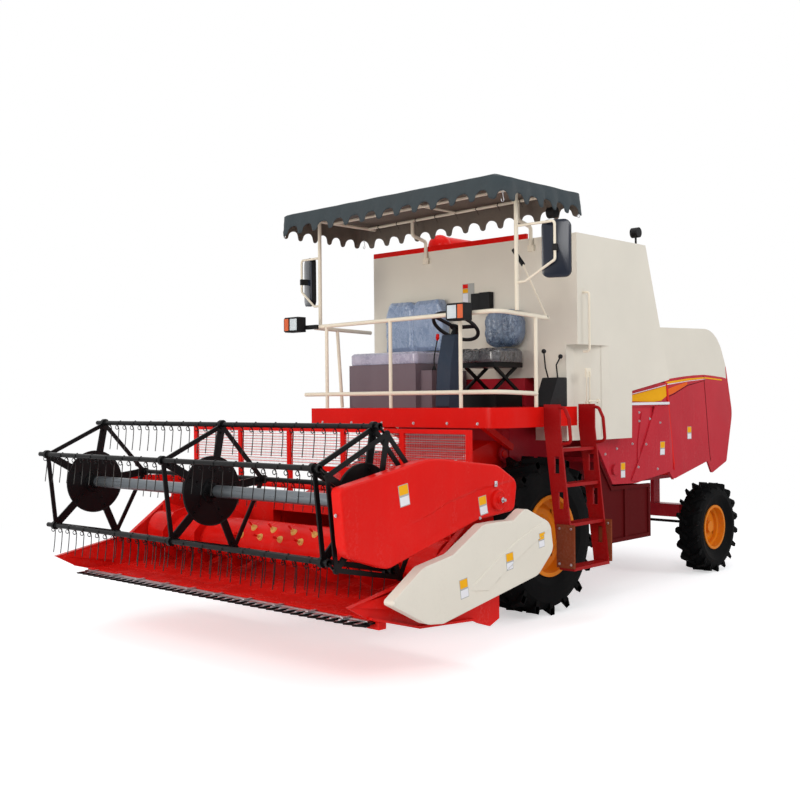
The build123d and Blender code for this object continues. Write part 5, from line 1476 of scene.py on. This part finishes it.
def studio_floor():
    """A pale floor that takes shadows near the machine and fades to plain white further out."""
    bm = bmesh.new()
    bmesh.ops.create_grid(bm, x_segments=1, y_segments=1, size=60)
    floor = in_scene("studio_floor", mesh_of("studio_floor", bm))
    material = bpy.data.materials.new("Studio Floor")
    material.use_nodes = True
    tree = material.node_tree
    tree.nodes.clear()
    matt = node(tree, "ShaderNodeBsdfDiffuse", {"Color": (0.90, 0.90, 0.90, 1)})
    glow = node(tree, "ShaderNodeEmission", {"Color": (1, 1, 1, 1), "Strength": 0.5})
    white = node(tree, "ShaderNodeEmission", {"Color": (1, 1, 1, 1), "Strength": 1.0})
    lit = node(tree, "ShaderNodeAddShader", {0: matt.outputs[0], 1: glow.outputs[0]})
    away = node(tree, "ShaderNodeVectorMath", {0: node(tree, "ShaderNodeTexCoord").outputs["Object"]},
                operation="LENGTH").outputs["Value"]
    far = band(tree, away, 4.5, 8.5)
    faded = node(tree, "ShaderNodeMixShader", {0: far, 1: lit.outputs[0], 2: white.outputs[0]})
    path = node(tree, "ShaderNodeLightPath").outputs["Is Camera Ray"]
    mixed = node(tree, "ShaderNodeMixShader", {0: path, 1: matt.outputs[0], 2: faded.outputs[0]})
    node(tree, "ShaderNodeOutputMaterial", {"Surface": mixed.outputs[0]})
    dress(floor, material)


def studio_sky():
    """A soft sky that looks white to the camera and in what mirrors or lets light through."""
    world = bpy.data.worlds.new("Studio Sky")
    bpy.context.scene.world = world
    world.use_nodes = True
    tree = world.node_tree
    tree.nodes.clear()
    path = node(tree, "ShaderNodeLightPath").outputs
    seen = math_node(tree, "MAXIMUM", path["Is Camera Ray"], path["Is Glossy Ray"])
    seen = math_node(tree, "MAXIMUM", seen, path["Is Transmission Ray"])
    soft = node(tree, "ShaderNodeBackground", {"Color": (0.93, 0.96, 1.0, 1), "Strength": 0.52})
    white = node(tree, "ShaderNodeBackground", {"Color": (1, 1, 1, 1), "Strength": 1.0})
    mixed = node(tree, "ShaderNodeMixShader", {0: seen, 1: soft.outputs[0], 2: white.outputs[0]})
    node(tree, "ShaderNodeOutputWorld", {"Surface": mixed.outputs[0]})


def studio_lights():
    """Large round lights: one key, the rest to fill."""
    plain, warm = (1.0, 1.0, 1.0), (1.0, 0.95, 0.87)
    # name, place, target, size, power, colour
    lights = (("key_light", (7.5, -9.0, 7.0), (0.3, -0.5, 1.2), 4.5, 360.0, plain),
              ("left_light", (9.0, 3.0, 5.5), (0.5, 1.0, 1.6), 4.0, 200.0, plain),
              ("front_light", (-2.0, -10.5, 2.8), (0.2, 0.0, 2.2), 4.0, 330.0, warm),
              ("top_light", (0.0, 0.0, 9.0), (0.0, 0.0, 0.0), 6.0, 170.0, plain))
    for name, place, target, size, power, colour in lights:
        data = bpy.data.lights.new(name, "AREA")
        data.shape = "DISK"
        data.size = size
        data.energy = power
        data.color = colour
        turn = facing(Vector(place) - Vector(target), (0, 1, 0.1))
        in_scene(name, data).matrix_world = Matrix.Translation(place) @ turn


def studio_camera():
    """The camera at the reference view: its place, its lens and its three turns."""
    data = bpy.data.cameras.new("camera")
    data.sensor_width = 36
    data.lens = 48.58
    data.shift_y = -0.0024
    azimuth, pitch, roll = math.radians(42.782), math.radians(0.072), math.radians(-0.565)
    level = Vector((-math.sin(azimuth), math.cos(azimuth), 0))
    right = Vector((math.cos(azimuth), math.sin(azimuth), 0))
    ahead = level * math.cos(pitch) + UP * math.sin(pitch)
    up = UP * math.cos(pitch) - level * math.sin(pitch)
    across = right * math.cos(roll) + up * math.sin(roll)
    upright = up * math.cos(roll) - right * math.sin(roll)
    turn = Matrix((across, upright, -ahead)).transposed().to_4x4()
    camera = in_scene("camera", data)
    camera.matrix_world = Matrix.Translation(spot(5.999, -7.151, 1.735)) @ turn
    bpy.context.scene.camera = camera


@step
class HARVESTER_OT_studio(bpy.types.Operator):
    """Set up the pale floor, the soft lights and the camera"""

    bl_idname = "harvester.studio"
    bl_label = "Studio"

    def execute(self, context):
        context.scene.view_settings.view_transform = "Standard"
        studio_floor()
        studio_sky()
        studio_lights()
        studio_camera()
        return {"FINISHED"}


# ---- sidebar


class HARVESTER_PT_panel(bpy.types.Panel):
    """The harvester's settings and steps"""

    bl_label = "Harvester"
    bl_idname = "HARVESTER_PT_panel"
    bl_space_type = "VIEW_3D"
    bl_region_type = "UI"
    bl_category = "Harvester"

    def draw(self, context):
        for group in (context.scene.harvester_colours, context.scene.harvester_sizes):
            box = self.layout.box()
            for key in group.__annotations__:
                box.prop(group, key)
        for operator in OPERATORS:
            self.layout.operator(operator.bl_idname)


def register():
    for cls in (HarvesterColours, HarvesterSizes, *OPERATORS, HARVESTER_PT_panel):
        bpy.utils.register_class(cls)
    bpy.types.Scene.harvester_colours = bpy.props.PointerProperty(type=HarvesterColours)
    bpy.types.Scene.harvester_sizes = bpy.props.PointerProperty(type=HarvesterSizes)


def unregister():
    del bpy.types.Scene.harvester_colours
    del bpy.types.Scene.harvester_sizes
    for cls in (HARVESTER_PT_panel, *reversed(OPERATORS), HarvesterSizes, HarvesterColours):
        bpy.utils.unregister_class(cls)


def main():
    register()
    for operator in OPERATORS:
        getattr(bpy.ops.harvester, operator.bl_idname.split(".")[1])()


if __name__ == "__main__":
    main()
